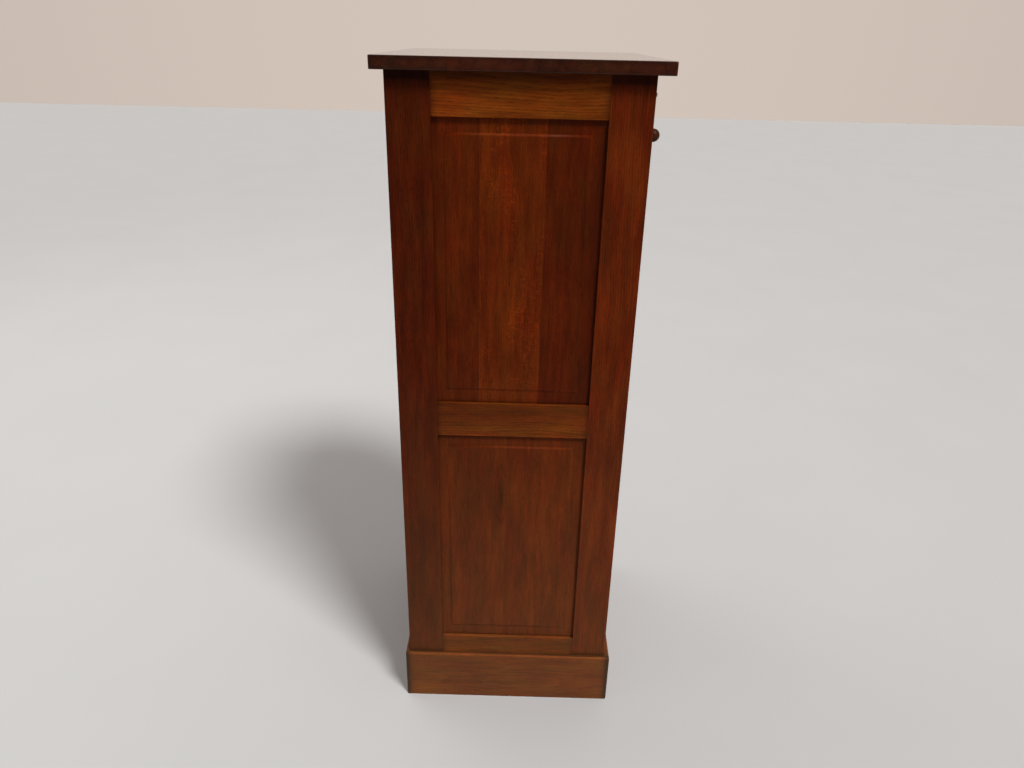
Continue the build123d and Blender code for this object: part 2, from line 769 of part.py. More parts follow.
def cabinet():
    """Every piece by its name."""
    pieces = {"top_board": top_board()}
    frame_cuts = side_panel_grooves() + [side_track()]
    left = {"front_stile": left_front_stile(), "rear_stile": left_rear_stile()}
    for name, span in rail_levels.items():
        left[name] = side_rail(span) - frame_cuts
    for name, span in panel_levels.items():
        left[name] = side_panel(span)
    for name, part in left.items():
        pieces["left_" + name] = part
        pieces["right_" + name] = right_of(part)
    back_rail_levels = dict(rail_levels, bottom_rail=(back_bottom_rail_low, bottom_rail_high))
    for name, span in back_rail_levels.items():
        pieces["back_" + name] = back_rail(span)
    for name, span in panel_levels.items():
        pieces["back_" + name] = back_panel(span)
    pieces.update(plinth_boards())
    for number, level in enumerate(shelf_levels(), start=1):
        pieces[f"shelf_{number}"] = shelf(level)
    screws = cleat_screw_places(slotted_screw)
    pieces.update(
        front_top_rail=front_top_rail(),
        front_sill=front_sill(),
        corner_blocks=corner_blocks(),
        top_glue_blocks=top_glue_blocks(),
        base_board=base_board(),
        base_cleats=base_cleats(),
        false_back=false_back(),
        left_shelf_cleats=left_shelf_cleats(),
        right_shelf_cleats=right_of(left_shelf_cleats()),
        cleat_screws=group(screws + [right_of(screw) for screw in screws]),
        tambour_slats=tambour_slats(),
        tambour_canvas=tambour_canvas(),
        lead_rail=lead_rail(),
        left_knob=knob(-1),
        right_knob=knob(1),
        knob_screws=group(knob_screw_places(slotted_screw)),
        strike_plate=strike_plate(),
        strike_screws=group(strike_screw_places(slotted_screw)),
        lock_case=lock_case(),
        lock_plate=lock_plate(),
        lock_screws=group(lock_screw_places(slotted_screw)),
        hook_pivot_pin=hook_pivot_pin(),
        drill_pin=drill_pin(),
        hook_bolt=hook_bolt(),
        key=key(),
        escutcheon=escutcheon(),
        escutcheon_pins=group(escutcheon_pin_places()),
    )
    return pieces


os.makedirs("parts", exist_ok=True)
for piece_name, piece in cabinet().items():
    export_step(piece, f"parts/{piece_name}.step")
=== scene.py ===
"""Tambour filing cabinet in dark stained oak. Metres, +Z up, the front faces -Y."""

import math
import random

import bmesh
import bpy
from mathutils import Euler, Matrix, Vector


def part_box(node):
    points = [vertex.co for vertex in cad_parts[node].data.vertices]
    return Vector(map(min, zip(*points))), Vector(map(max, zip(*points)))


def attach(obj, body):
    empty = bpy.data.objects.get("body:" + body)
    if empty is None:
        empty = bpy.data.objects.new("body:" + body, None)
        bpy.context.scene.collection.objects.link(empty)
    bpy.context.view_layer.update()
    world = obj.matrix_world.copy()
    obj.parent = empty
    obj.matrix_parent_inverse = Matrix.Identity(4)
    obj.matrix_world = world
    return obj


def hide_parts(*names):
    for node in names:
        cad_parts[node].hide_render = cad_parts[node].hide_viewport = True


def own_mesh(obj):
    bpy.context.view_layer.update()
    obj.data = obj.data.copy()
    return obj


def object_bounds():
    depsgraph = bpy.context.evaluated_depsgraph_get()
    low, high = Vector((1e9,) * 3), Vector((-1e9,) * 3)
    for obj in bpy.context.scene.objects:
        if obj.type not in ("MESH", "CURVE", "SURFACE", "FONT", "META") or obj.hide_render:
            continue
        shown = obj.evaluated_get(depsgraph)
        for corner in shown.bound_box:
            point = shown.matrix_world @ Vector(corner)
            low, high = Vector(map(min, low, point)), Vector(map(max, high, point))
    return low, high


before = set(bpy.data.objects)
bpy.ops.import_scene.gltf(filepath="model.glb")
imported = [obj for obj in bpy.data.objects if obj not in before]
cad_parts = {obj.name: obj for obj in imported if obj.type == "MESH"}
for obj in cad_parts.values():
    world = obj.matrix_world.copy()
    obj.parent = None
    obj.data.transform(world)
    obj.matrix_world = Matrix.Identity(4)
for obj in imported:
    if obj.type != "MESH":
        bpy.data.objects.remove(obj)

bl_info = {
    "name": "Tambour filing cabinet",
    "version": (1, 0, 0),
    "blender": (4, 5, 0),
    "location": "View3D > Sidebar > Cabinet",
    "description": "Dresses an oak filing cabinet with a tambour front",
    "category": "Object",
}

CAD_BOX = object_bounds()

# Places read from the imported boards
STILE_FRONT_LOW, STILE_FRONT_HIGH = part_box("left_front_stile")
STILE_REAR_LOW, STILE_REAR_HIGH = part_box("left_rear_stile")
RAIL_TOP_LOW, RAIL_TOP_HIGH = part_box("left_top_rail")
RAIL_MIDDLE_LOW, RAIL_MIDDLE_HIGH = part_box("left_middle_rail")
RAIL_BOTTOM_LOW, RAIL_BOTTOM_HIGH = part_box("left_bottom_rail")
SLATS_LOW, SLATS_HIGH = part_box("tambour_slats")
CANVAS_LOW, CANVAS_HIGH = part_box("tambour_canvas")
PLINTH_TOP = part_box("plinth_left")[1].z
INNER_X = -STILE_FRONT_HIGH.x
OUTER_X = -STILE_FRONT_LOW.x

# How close two points or planes are to count as one
WELD = 1e-6
TOUCH = 5e-5
FLAT_ANGLE = math.radians(0.5)
SQUARE_ANGLE = math.radians(60)
SMOOTH_ANGLE = math.radians(35)
SORT_DIGITS = 4
LENGTH_DIGITS = 5

# A board's corner lies on two planes of its box, and its arris is rounded in two steps
AXIS_NUMBERS = range(3)
CORNER_PLANES = 2
ROUND_STEPS = 2
ROUND_PROFILE = 0.5

# sRGB curve
SRGB_KNEE = 0.04045
SRGB_SLOPE = 12.92
SRGB_OFFSET = 0.055
SRGB_GAMMA = 2.4
HEX_FULL = 255


def linear(hex_colour):
    """An sRGB hex colour as linear red, green and blue."""
    values = []
    for channel in bytes.fromhex(hex_colour.lstrip("#")):
        share = channel / HEX_FULL
        if share <= SRGB_KNEE:
            values.append(share / SRGB_SLOPE)
        else:
            values.append(((share + SRGB_OFFSET) / (1 + SRGB_OFFSET)) ** SRGB_GAMMA)
    return tuple(values)


def colour_property(name, description, hex_colour):
    return bpy.props.FloatVectorProperty(
        name=name,
        description=description,
        subtype="COLOR",
        size=3,
        min=0,
        max=1,
        default=linear(hex_colour),
    )


def number_property(name, description, default, **kind):
    return bpy.props.FloatProperty(name=name, description=description, default=default, min=0, **kind)


def length_property(name, description, default):
    kind = {"unit": "LENGTH", "subtype": "DISTANCE", "precision": LENGTH_DIGITS}
    return number_property(name, description, default, **kind)


class CabinetSizes(bpy.types.PropertyGroup):
    """Sizes that the dressing adds to the boards"""

    arris: length_property("Arris", "How far a board's sharp edges are rubbed round", 0.0007)
    joint_line: length_property("Joint line", "The small chamfer that shows where two boards meet", 0.0004)
    ring_width: length_property("Ring width", "Wood grown in one year", 0.0026)
    # The wear width also sets how far painted highlights reach in from an edge
    wear_and_highlight_width: length_property("Wear width", "How far the rubbed finish reaches in from an edge", 0.006)
    # The dirt width also sets how far painted shade reaches into recesses, corners and under the top
    dirt_and_shade_width: length_property("Dirt width", "How far old polish gathers in a panel's corner", 0.016)
    thread_pitch: length_property("Thread pitch", "From one canvas thread to the next", 0.0012)


class CabinetColours(bpy.types.PropertyGroup):
    """Colours of the finishes"""

    top: colour_property("Top", "Stain of the top board", "#4f2210")
    stile: colour_property("Stiles", "Stain of the upright frame boards", "#5c2005")
    rail: colour_property("Rails", "Stain of the level frame boards", "#693009")
    panel: colour_property("Panels", "Stain of the fielded panels", "#551d03")
    plinth: colour_property("Plinth", "Stain of the plinth", "#622c06")
    slat: colour_property("Slats", "Stain of the tambour", "#5f2408")
    knob: colour_property("Knobs", "Stain of the turned knobs", "#3d200f")
    inside: colour_property("Inside", "Bare oak that has darkened", "#a67a48")
    canvas: colour_property("Canvas", "Unbleached linen", "#b3a382")
    brass: colour_property("Brass", "Brass that has gone brown", "#a3834a")
    steel: colour_property("Steel", "Dull blackened steel", "#736d66")
    floor: colour_property("Floor", "Pale floor", "#bcbfc3")


class CabinetStage(bpy.types.PropertyGroup):
    """Light and floor"""

    key_strength: number_property("Key light", "Strength of the light from above the front corner", 2.9)
    fill_power: number_property("Fill light", "Power of the light at the back corner", 20, subtype="POWER")
    sun_strength: number_property("Skylight", "Strength of the light from straight above", 0.45)
    world_strength: number_property("Room light", "Strength of the pale room all round", 0.8)
    floor_reach: length_property("Floor", "From the middle of the floor to its edge", 12)


def add(tree, kind, inputs=None, stops=None, **settings):
    """Adds a node with its settings, and fills or links its inputs."""
    made = tree.nodes.new("ShaderNode" + kind)
    for name, value in settings.items():
        setattr(made, name, value)
    for name, value in (inputs or {}).items():
        if isinstance(value, bpy.types.NodeSocket):
            tree.links.new(value, made.inputs[name])
        else:
            made.inputs[name].default_value = value
    if stops:
        elements = made.color_ramp.elements
        elements[0].position, elements[0].color = stops[0]
        elements[-1].position, elements[-1].color = stops[-1]
        for position, colour in stops[1:-1]:
            elements.new(position).color = colour
    return made


def maths(tree, operation, *values, clamp=False):
    """An operation on one to three numbers."""
    return add(tree, "Math", dict(enumerate(values)), operation=operation, use_clamp=clamp).outputs[0]


def vectors(tree, operation, *values, output="Vector"):
    """An operation on one to three vectors or colours."""
    made = add(tree, "VectorMath", dict(enumerate(values)), operation=operation)
    return made.outputs[output]


def toned(tree, colour, share):
    """A colour made lighter or darker."""
    return add(tree, "VectorMath", {0: colour, "Scale": share}, operation="SCALE").outputs[0]


def mixed(tree, share, first, second):
    """The first colour, with this share of the second."""
    return add(tree, "Mix", {0: share, 6: first, 7: second}, data_type="RGBA").outputs[2]


def split(tree, vector):
    """A vector's X, Y and Z."""
    return add(tree, "SeparateXYZ", {0: vector}).outputs


def mark(tree, name):
    """A mark that was written on the board's faces."""
    return add(tree, "Attribute", attribute_name=name).outputs["Vector"]


def remap(tree, value, start, end, low=0.0, high=1.0):
    """Low where the value is at start, high where it's at end, and even between them."""
    limits = {"From Min": start, "From Max": end, "To Min": low, "To Max": high}
    return add(tree, "MapRange", {"Value": value, **limits}).outputs[0]


def noise(tree, place, scale, octaves):
    return add(tree, "TexNoise", {"Vector": place, "Scale": scale, "Detail": octaves}).outputs["Fac"]


def bump(tree, height, strength, distance):
    inputs = {"Height": height, "Strength": strength, "Distance": distance}
    return add(tree, "Bump", inputs).outputs[0]


def opaque(colour, factor=1.0):
    """A colour made lighter or darker, with its alpha."""
    return (*(min(1.0, channel * factor) for channel in colour), 1.0)


def ramp(tree, value, base, tones):
    """Lighter and darker tones of one colour, each at its place."""
    stops = [(place, opaque(base, share)) for place, share in tones]
    return add(tree, "ValToRGB", {"Fac": value}, stops=stops).outputs["Color"]


def blank_material(name):
    """A material with nothing in it but its output and the places on the board."""
    material = bpy.data.materials.new(name)
    material.use_nodes = True
    tree = material.node_tree
    tree.nodes.clear()
    return material, tree, add(tree, "OutputMaterial"), add(tree, "TexCoord").outputs


def surface(tree, output, inputs):
    """The shader that ends a material."""
    shader = add(tree, "BsdfPrincipled", inputs)
    tree.links.new(shader.outputs[0], output.inputs["Surface"])
    return shader


# Turns the pattern so that the grain runs along its X
GRAIN_TURNS = {
    "x": (0, 0, 0),
    "y": (0, 0, -math.pi / 2),
    "z": (0, math.pi / 2, 0),
}
AXES = {"x": (1, 0, 0), "y": (0, 1, 0), "z": (0, 0, 1)}

# A wave texture has one ring in this length at scale 1
WAVE_PERIOD = math.pi / 10

# What most kinds of oak here share. Contrast is that of the figure, and tint says how far the stain goes
# brown and red. Dirt and shade is the share of the dirt and shade width, the reach of old polish and painted
# shade, and end is how dark the end grain is
COMMON_OAK = {
    "roughness": 0.42,
    "coat": 0.0,
    "coat_roughness": 0.3,
    "contrast": 1.1,
    "tint": 1.0,
    "dirt_and_shade": 1.0,
    "end": 0.6,
}

# What each kind of oak is: real name, how its surface was made, and what that gives the eye. Edges says how
# far long edges and end edges are rubbed light, on the frame, field and plinth also as a painted highlight.
# Below zero, it says how dark old polish has made them, in recesses and under the top also as painted shade
WOODS = {
    # Oak top, stained and polished over years: deep gloss, dark end grain
    "top_oak": {
        "name": "Oak_polished_top",
        "roughness": 0.2,
        "coat": 1.0,
        "coat_roughness": 0.1,
        "edges": (0.25, -0.55),
        "end": 0.62,
    },
    # Rift-sawn oak, stained and varnished: straight dark streaks, satin
    "stile_oak": {"name": "Oak_varnished_stile", "edges": (0.16, -0.8)},
    # Plain-sawn oak, stained and varnished: wavy streaks, more orange
    "rail_oak": {"name": "Oak_varnished_rail", "edges": (0.22, -0.6)},
    # Quarter-sawn oak with ray fleck, dark polish and painted shade in the corners of the recess
    "panel_oak": {
        "name": "Oak_varnished_panel",
        "roughness": 0.4,
        "contrast": 1.05,
        "edges": (-0.35, -0.75),
        "dirt_and_shade": 0.55,
    },
    # Stained oak that shoes and brooms have rubbed light along its edge, with a painted highlight on its
    # rounded top edge
    "plinth_oak": {
        "name": "Oak_rubbed_plinth",
        "coat": 0.12,
        "coat_roughness": 0.2,
        "contrast": 0.95,
        "edges": (1.0, -0.95),
    },
    # Planed slats, varnished before they were glued to the cloth
    "slat_oak": {
        "name": "Oak_varnished_slat",
        "roughness": 0.38,
        "contrast": 1.0,
        "edges": (-0.5, -0.4),
    },
    # Turned oak, darkened by hands
    "knob_oak": {
        "name": "Oak_turned_knob",
        "roughness": 0.44,
        "coat": 0.09,
        "coat_roughness": 0.34,
        "contrast": 0.8,
        "edges": (0.0, 0.0),
        "end": 0.7,
    },
    # Oak with a thin finish, only dusty and darkened
    "inside_oak": {
        "name": "Oak_plain_inside",
        "roughness": 0.6,
        "contrast": 0.8,
        "tint": 0.35,
        "edges": (-0.25, -0.25),
        "end": 0.75,
    },
}

# Noise drawn out along the grain: how often it repeats in a metre along the grain and across it, its
# octaves, and what else the node is given
GRAIN_NOISE = {
    "sway": (2.6, 4.0, 2.0, {}),
    "fibre": (34.0, 280.0, 4.0, {"Roughness": 0.62}),
    "streak": (9.0, 84.0, 3.0, {}),
    "cloud": (6.0, 16.0, 3.0, {"Roughness": 0.6}),
    "hue": (12.0, 36.0, 3.0, {}),
    "pores": (110.0, 1500.0, 1.0, {}),
    "slips": (48.0, 300.0, 2.0, {"Distortion": 0.9}),
    "ribbons": (110.0, 42.0, 1.0, {"Distortion": 0.6}),
    "patches": (12.0, 30.0, 2.0, {}),
}
NO_TURN = (0.0, 0.0, 0.0)
NOISE_TURNS = {"slips": (0.0, 0.14, 0.14), "ribbons": (0.0, 0.0, 0.9)}

# Where a mark starts to show, where it is full, and how strong it is there if that isn't one
MARK_LIMITS = {
    "hue": (0.36, 0.64),
    "pores": (0.56, 0.66),
    "early_wood": (1.0, 0.2),
    "slips": (0.57, 0.7),
    "ribbons": (0.03, 0.0),
    "patches": (0.44, 0.62),
    "rubbed_patches": (0.1, 0.5),
    "end_grain": (0.6, 0.95),
    "knot_heart": (1.0, 0.2),
    "knot_lines": (3.0, 0.5, 0.0, 0.45),
    "painted_ledge_highlight": (0.3, 0.8, 1.0, 1.5),
    "polished_side": (-0.5, 0.0),
}

# How far the log sways, how its rings are drawn out and how uneven they are
HALF = (0.5, 0.5, 0.5)
SWAY_REACH = (0.0, 0.028, 0.028)
RING_STRETCH = (0.05, 1.0)
RING_UNEVENNESS = {"Distortion": 4.0, "Detail": 2.0, "Detail Scale": 0.7}

# How much each pattern counts in the figure, which lies around its middle
RING_SHARE = 0.08
FIGURE_SHARES = {"fibre": 0.24, "streak": 0.34, "cloud": 0.34}
FIGURE_MIDDLE = 0.5
FIGURE_SPREAD = 0.2
DARK_SHARE = 0.42
LIGHT_SHARE = 1.75

# What a mark leaves of the board's colour
PORE_SHARE = 0.5
FLECK_SHARE = 1.6
RUBBED_AND_HIGHLIGHT_SHARE = 2.0
GRIME_AND_SHADE_SHARE = 0.1
KNOT_SHARE = 0.45
EDGE_FALL = 2.5
LEDGE_DUST_AND_SHADE = 0.0055
LEDGE_MOST = 0.95
RUBBED_AND_HIGHLIGHT_SCALE = 45.0
RUBBED_AND_HIGHLIGHT_OCTAVES = 3.0

# A pin knot in the lower left panel: its place, and how far its heart reaches
KNOT_PLACE = (-OUTER_X, 0.027, 0.482)
KNOT_REACH = (0.05, 0.0075, 0.048)
KNOT_LINES = 6.0

# The stain lies browner in one patch and redder in the next
RED_TINT = (1.04, 0.88, 0.88, 1.0)
BROWN_TINT = (0.97, 1.16, 1.04, 1.0)
# How high the dust and painted floor reflection reach, how strong they are at the floor, and their colour
DUST_AND_SHEEN_TOP = 0.75
DUST_AND_SHEEN_MOST = 0.16
DUST_AND_SHEEN_COLOUR = "#8b6b48"

# Gloss and relief of the finish. The fibres make it rougher and smoother around the wood's roughness
OAK_IOR = 1.5
OAK_SPECULAR = 0.05
ROUGH_FIBRES = (0.3, 0.7)
ROUGHER = 0.08
SMOOTHER = 0.06
PORE_ROUGHNESS = 0.25
ROUGH_UNDERSIDE = 0.85
FIBRE_RELIEF = 0.6
OAK_BUMP = (0.35, 0.00025)


def marked(tree, name, value):
    """How strong a mark is, from the value that it follows."""
    return remap(tree, value, *MARK_LIMITS[name])


def stretched(tree, place, along, across, turn=NO_TURN):
    """A place scaled along the grain and across it."""
    inputs = {"Vector": place, "Rotation": turn, "Scale": (along, across, across)}
    return add(tree, "Mapping", inputs).outputs[0]


def grain_noise(tree, name, place, output="Fac"):
    """One of the noises that are drawn out along the grain."""
    along, across, octaves, more = GRAIN_NOISE[name]
    place = stretched(tree, place, along, across, NOISE_TURNS.get(name, NO_TURN))
    inputs = {"Vector": place, "Scale": 1.0, "Detail": octaves, **more}
    return add(tree, "TexNoise", inputs).outputs[output]


def grain_mark(tree, name, place):
    """A mark that follows the noise of the same name."""
    return marked(tree, name, grain_noise(tree, name, place))


def board_figure(tree, grained, look, wood, base):
    """The board's stained colour, and the patterns that other marks follow."""
    # The log isn't straight, so the rings sway along the board
    sway = vectors(tree, "SUBTRACT", grain_noise(tree, "sway", grained, "Color"), HALF)
    swayed = vectors(tree, "MULTIPLY_ADD", sway, SWAY_REACH, grained)
    rings = add(
        tree,
        "TexWave",
        {
            "Vector": stretched(tree, swayed, *RING_STRETCH),
            "Scale": WAVE_PERIOD / bpy.context.scene.cabinet_sizes.ring_width,
            **RING_UNEVENNESS,
        },
        wave_type="RINGS",
        rings_direction="X",
        wave_profile="SAW",
    ).outputs["Fac"]

    # The four patterns add up to the figure
    figure = maths(tree, "MULTIPLY", rings, RING_SHARE)
    patterns = {name: grain_noise(tree, name, swayed) for name in FIGURE_SHARES}
    for name, share in FIGURE_SHARES.items():
        figure = maths(tree, "MULTIPLY_ADD", patterns[name], share, figure)
    spread = FIGURE_SPREAD / wood["contrast"]
    tones = (
        (FIGURE_MIDDLE - spread, DARK_SHARE),
        (FIGURE_MIDDLE, 1.0),
        (FIGURE_MIDDLE + spread, LIGHT_SHARE),
    )
    colour = toned(tree, ramp(tree, figure, base, tones), maths(tree, "ADD", look["X"], 1.0))
    hue = maths(tree, "ADD", look["Z"], grain_noise(tree, "hue", swayed))
    tint = mixed(tree, marked(tree, "hue", hue), RED_TINT, BROWN_TINT)
    colour = mixed(tree, wood["tint"], colour, vectors(tree, "MULTIPLY", colour, tint))
    return colour, rings, patterns["fibre"], sway


def open_pores(tree, grained, rings):
    """Short dark dashes in the early wood."""
    return maths(tree, "MULTIPLY", grain_mark(tree, "pores", grained), marked(tree, "early_wood", rings))


def ray_fleck(tree, grained, amount):
    """Fleck on boards sawn on the quarter: pale slips along the grain, thin ribbons that cross it."""
    slips = grain_mark(tree, "slips", grained)
    ribbons = maths(tree, "SUBTRACT", grain_noise(tree, "ribbons", grained), FIGURE_MIDDLE)
    ribbons = marked(tree, "ribbons", maths(tree, "ABSOLUTE", ribbons))
    fleck = maths(tree, "MAXIMUM", slips, ribbons)
    fleck = maths(tree, "MULTIPLY", fleck, grain_mark(tree, "patches", grained))
    return maths(tree, "MULTIPLY", fleck, amount)


def edge_wear_and_light(tree, along, own, above, below, edges, dirt_and_shade):
    """Where hands and brooms rub the edges light, also painted highlights along some edges, and where old
    polish makes them dark, also painted shade in recesses and under the top.
    """
    sizes = bpy.context.scene.cabinet_sizes
    near = split(tree, vectors(tree, "MINIMUM", above, below))
    sides = [near[axis] for axis in "XYZ" if axis != along.upper()]
    long_edge = maths(tree, "MAXIMUM", *sides)
    end_edge = maths(tree, "MAXIMUM", near[along.upper()], maths(tree, "MINIMUM", *sides))
    wear_and_light = {}
    for sign, reach in ((1.0, sizes.wear_and_highlight_width), (-1.0, sizes.dirt_and_shade_width * dirt_and_shade)):
        for distance, edge_mark in ((long_edge, edges["X"]), (end_edge, edges["Y"])):
            edge = maths(tree, "POWER", remap(tree, distance, reach, 0.0), EDGE_FALL)
            amount = maths(tree, "MULTIPLY", edge_mark, sign, clamp=True)
            edge = maths(tree, "MULTIPLY", edge, amount)
            if sign in wear_and_light:
                edge = maths(tree, "MAXIMUM", edge, wear_and_light[sign])
            wear_and_light[sign] = edge
    patches = marked(tree, "rubbed_patches", noise(tree, own, RUBBED_AND_HIGHLIGHT_SCALE, RUBBED_AND_HIGHLIGHT_OCTAVES))
    return maths(tree, "MULTIPLY", wear_and_light[1.0], patches), wear_and_light[-1.0]


def plinth_dust_and_shade(tree, place):
    """Dust, old polish and painted shade on the plinth's ledge against the frame."""
    ledge = maths(tree, "SUBTRACT", maths(tree, "ABSOLUTE", place["X"]), OUTER_X)
    front = maths(tree, "SUBTRACT", STILE_FRONT_LOW.y, place["Y"])
    rear = maths(tree, "SUBTRACT", place["Y"], STILE_REAR_HIGH.y)
    for distance in (front, rear):
        ledge = maths(tree, "MAXIMUM", ledge, distance)
    return remap(tree, ledge, LEDGE_DUST_AND_SHADE, 0.0, 0.0, LEDGE_MOST)


def rail_tone(tree, up, above, below, fall):
    """A painted highlight makes the tops of the rails paler, and one side of a board is darker than the
    other.
    """
    from_low, from_high = split(tree, above)["Z"], split(tree, below)["Z"]
    height = maths(tree, "ADD", from_low, from_high)
    share = maths(tree, "DIVIDE", from_low, height, clamp=True)
    tone = maths(tree, "SUBTRACT", 1.0, maths(tree, "MULTIPLY", share, fall))
    return maths(tree, "MULTIPLY", tone, marked(tree, "painted_ledge_highlight", up))


def pin_knot(tree, point, sway):
    """A small dark knot that the grain of the lower left panel parts round."""
    knot = vectors(tree, "SUBTRACT", point, KNOT_PLACE)
    knot = vectors(tree, "DIVIDE", knot, KNOT_REACH)
    knot = vectors(tree, "MULTIPLY_ADD", knot, sway, knot)
    reach = vectors(tree, "LENGTH", knot, output="Value")
    lines = maths(tree, "SINE", maths(tree, "MULTIPLY", reach, KNOT_LINES))
    lines = maths(tree, "MULTIPLY", lines, marked(tree, "knot_lines", reach), clamp=True)
    return maths(tree, "MAXIMUM", marked(tree, "knot_heart", reach), lines)


def oak(slot, along):
    """Stained oak with rings, fibres, open pores and ray fleck, its grain along one axis."""
    wood = {**COMMON_OAK, **WOODS[slot]}
    name = f"{wood['name']}_{along}"
    if name in bpy.data.materials:
        return bpy.data.materials[name]
    base = getattr(bpy.context.scene.cabinet_colours, slot.removesuffix("_oak"))
    material, tree, output, coordinates = blank_material(name)
    point = coordinates["Object"]
    place = split(tree, point)
    up = split(tree, coordinates["Normal"])["Z"]
    look = split(tree, mark(tree, "board_look"))
    edges = split(tree, mark(tree, "board_edges"))
    own = vectors(tree, "ADD", point, mark(tree, "board_shift"))
    above = vectors(tree, "SUBTRACT", point, mark(tree, "arris_low"))
    below = vectors(tree, "SUBTRACT", mark(tree, "arris_high"), point)
    grained = add(tree, "Mapping", {"Vector": own, "Rotation": GRAIN_TURNS[along]}).outputs[0]
    colour, rings, fibre, sway = board_figure(tree, grained, look, wood, base)
    pores = open_pores(tree, grained, rings)
    fleck = ray_fleck(tree, grained, look["Y"])
    rubbed_and_highlight, grime_and_shade = edge_wear_and_light(tree, along, own, above, below, edges, wood["dirt_and_shade"])
    if slot == "plinth_oak":
        grime_and_shade = maths(tree, "MAXIMUM", grime_and_shade, plinth_dust_and_shade(tree, place))
    if slot == "rail_oak":
        colour = toned(tree, colour, rail_tone(tree, up, above, below, edges["Z"]))
    if slot == "panel_oak":
        colour = mixed(tree, pin_knot(tree, point, sway), colour, toned(tree, colour, KNOT_SHARE))

    # Across the end of a board the stain soaks in and goes dark
    end_grain = vectors(tree, "DOT_PRODUCT", coordinates["Normal"], AXES[along], output="Value")
    end_grain = marked(tree, "end_grain", maths(tree, "ABSOLUTE", end_grain))
    for amount, share in (
        (pores, PORE_SHARE),
        (fleck, FLECK_SHARE),
        # Rubbed edges also carry painted highlights, and grime also carries painted shade
        (rubbed_and_highlight, RUBBED_AND_HIGHLIGHT_SHARE),
        (grime_and_shade, GRIME_AND_SHADE_SHARE),
        (end_grain, wood["end"]),
    ):
        colour = mixed(tree, amount, colour, toned(tree, colour, share))

    # Scuffs and dust have taken the depth out of the finish near the floor, and a painted reflection of the
    # pale floor makes it paler and greyer there
    dust_and_sheen = remap(tree, place["Z"], DUST_AND_SHEEN_TOP, 0.0, 0.0, DUST_AND_SHEEN_MOST)
    colour = mixed(tree, dust_and_sheen, colour, opaque(linear(DUST_AND_SHEEN_COLOUR)))
    rough_limits = (wood["roughness"] + ROUGHER, wood["roughness"] - SMOOTHER)
    rough = remap(tree, fibre, *ROUGH_FIBRES, *rough_limits)
    rough = maths(tree, "MULTIPLY_ADD", pores, PORE_ROUGHNESS, rough)
    relief = maths(tree, "MULTIPLY_ADD", fibre, FIBRE_RELIEF, rings)
    relief = maths(tree, "SUBTRACT", relief, pores)
    shader = surface(
        tree,
        output,
        {
            "Base Color": colour,
            "Roughness": rough,
            "Normal": bump(tree, relief, *OAK_BUMP),
            "IOR": OAK_IOR,
            "Specular IOR Level": OAK_SPECULAR,
            "Coat Weight": wood["coat"],
            "Coat Roughness": wood["coat_roughness"],
            "Coat IOR": OAK_IOR,
        },
    )
    if slot == "top_oak":
        # Nobody polishes the underside
        polished = marked(tree, "polished_side", up)
        tree.links.new(polished, shader.inputs["Coat Weight"])
        sawn = remap(tree, polished, 0.0, 1.0, ROUGH_UNDERSIDE, 0.0)
        tree.links.new(maths(tree, "MAXIMUM", rough, sawn), shader.inputs["Roughness"])
    return material


# Tarnish lies in patches, and scratches run level: how often they repeat in a metre, and their octaves
TARNISH = (260.0, 5.0)
TARNISH_TONES = ((0.32, 0.3), (0.5, 0.85), (0.68, 1.25))
TARNISH_LIMITS = (0.3, 0.7)
TARNISHED_ROUGHER = 0.2
POLISHED_SMOOTHER = 0.05
SCRATCH_STRETCH = (300.0, 300.0, 4200.0)
SCRATCH_OCTAVES = 2.0
SCRATCH_BUMP = (0.2, 0.00005)


def metal(slot, name, roughness, tone):
    """Old brass or steel: soft polish with brown or grey tarnish in patches and fine scratches."""
    if name in bpy.data.materials:
        return bpy.data.materials[name]
    base = getattr(bpy.context.scene.cabinet_colours, slot)
    material, tree, output, coordinates = blank_material(name)
    point = coordinates["Object"]
    patches = noise(tree, point, *TARNISH)
    colour = ramp(tree, patches, base, [(place, share * tone) for place, share in TARNISH_TONES])
    scratch_place = add(tree, "Mapping", {"Vector": point, "Scale": SCRATCH_STRETCH}).outputs[0]
    scratches = noise(tree, scratch_place, 1.0, SCRATCH_OCTAVES)
    rough_limits = (roughness + TARNISHED_ROUGHER, roughness - POLISHED_SMOOTHER)
    rough = remap(tree, patches, *TARNISH_LIMITS, *rough_limits)
    normal = bump(tree, scratches, *SCRATCH_BUMP)
    surface(tree, output, {"Base Color": colour, "Roughness": rough, "Normal": normal, "Metallic": 1.0})
    return material


# Uneven threads, old stains, and how dull the cloth is
THREAD_UNEVENNESS = {"Distortion": 0.6, "Detail": 1.0}
WEAVE_SHARE = 0.35
STAINS = (14.0, 4.0)
CLOTH_TONES = ((0.35, 0.45), (0.6, 0.9), (0.9, 1.15))
CLOTH_BUMP = (0.6, 0.0002)
CLOTH_FINISH = {
    "Roughness": 0.92,
    "Sheen Weight": 0.15,
    "Sheen Roughness": 0.5,
    "Specular IOR Level": 0.2,
}


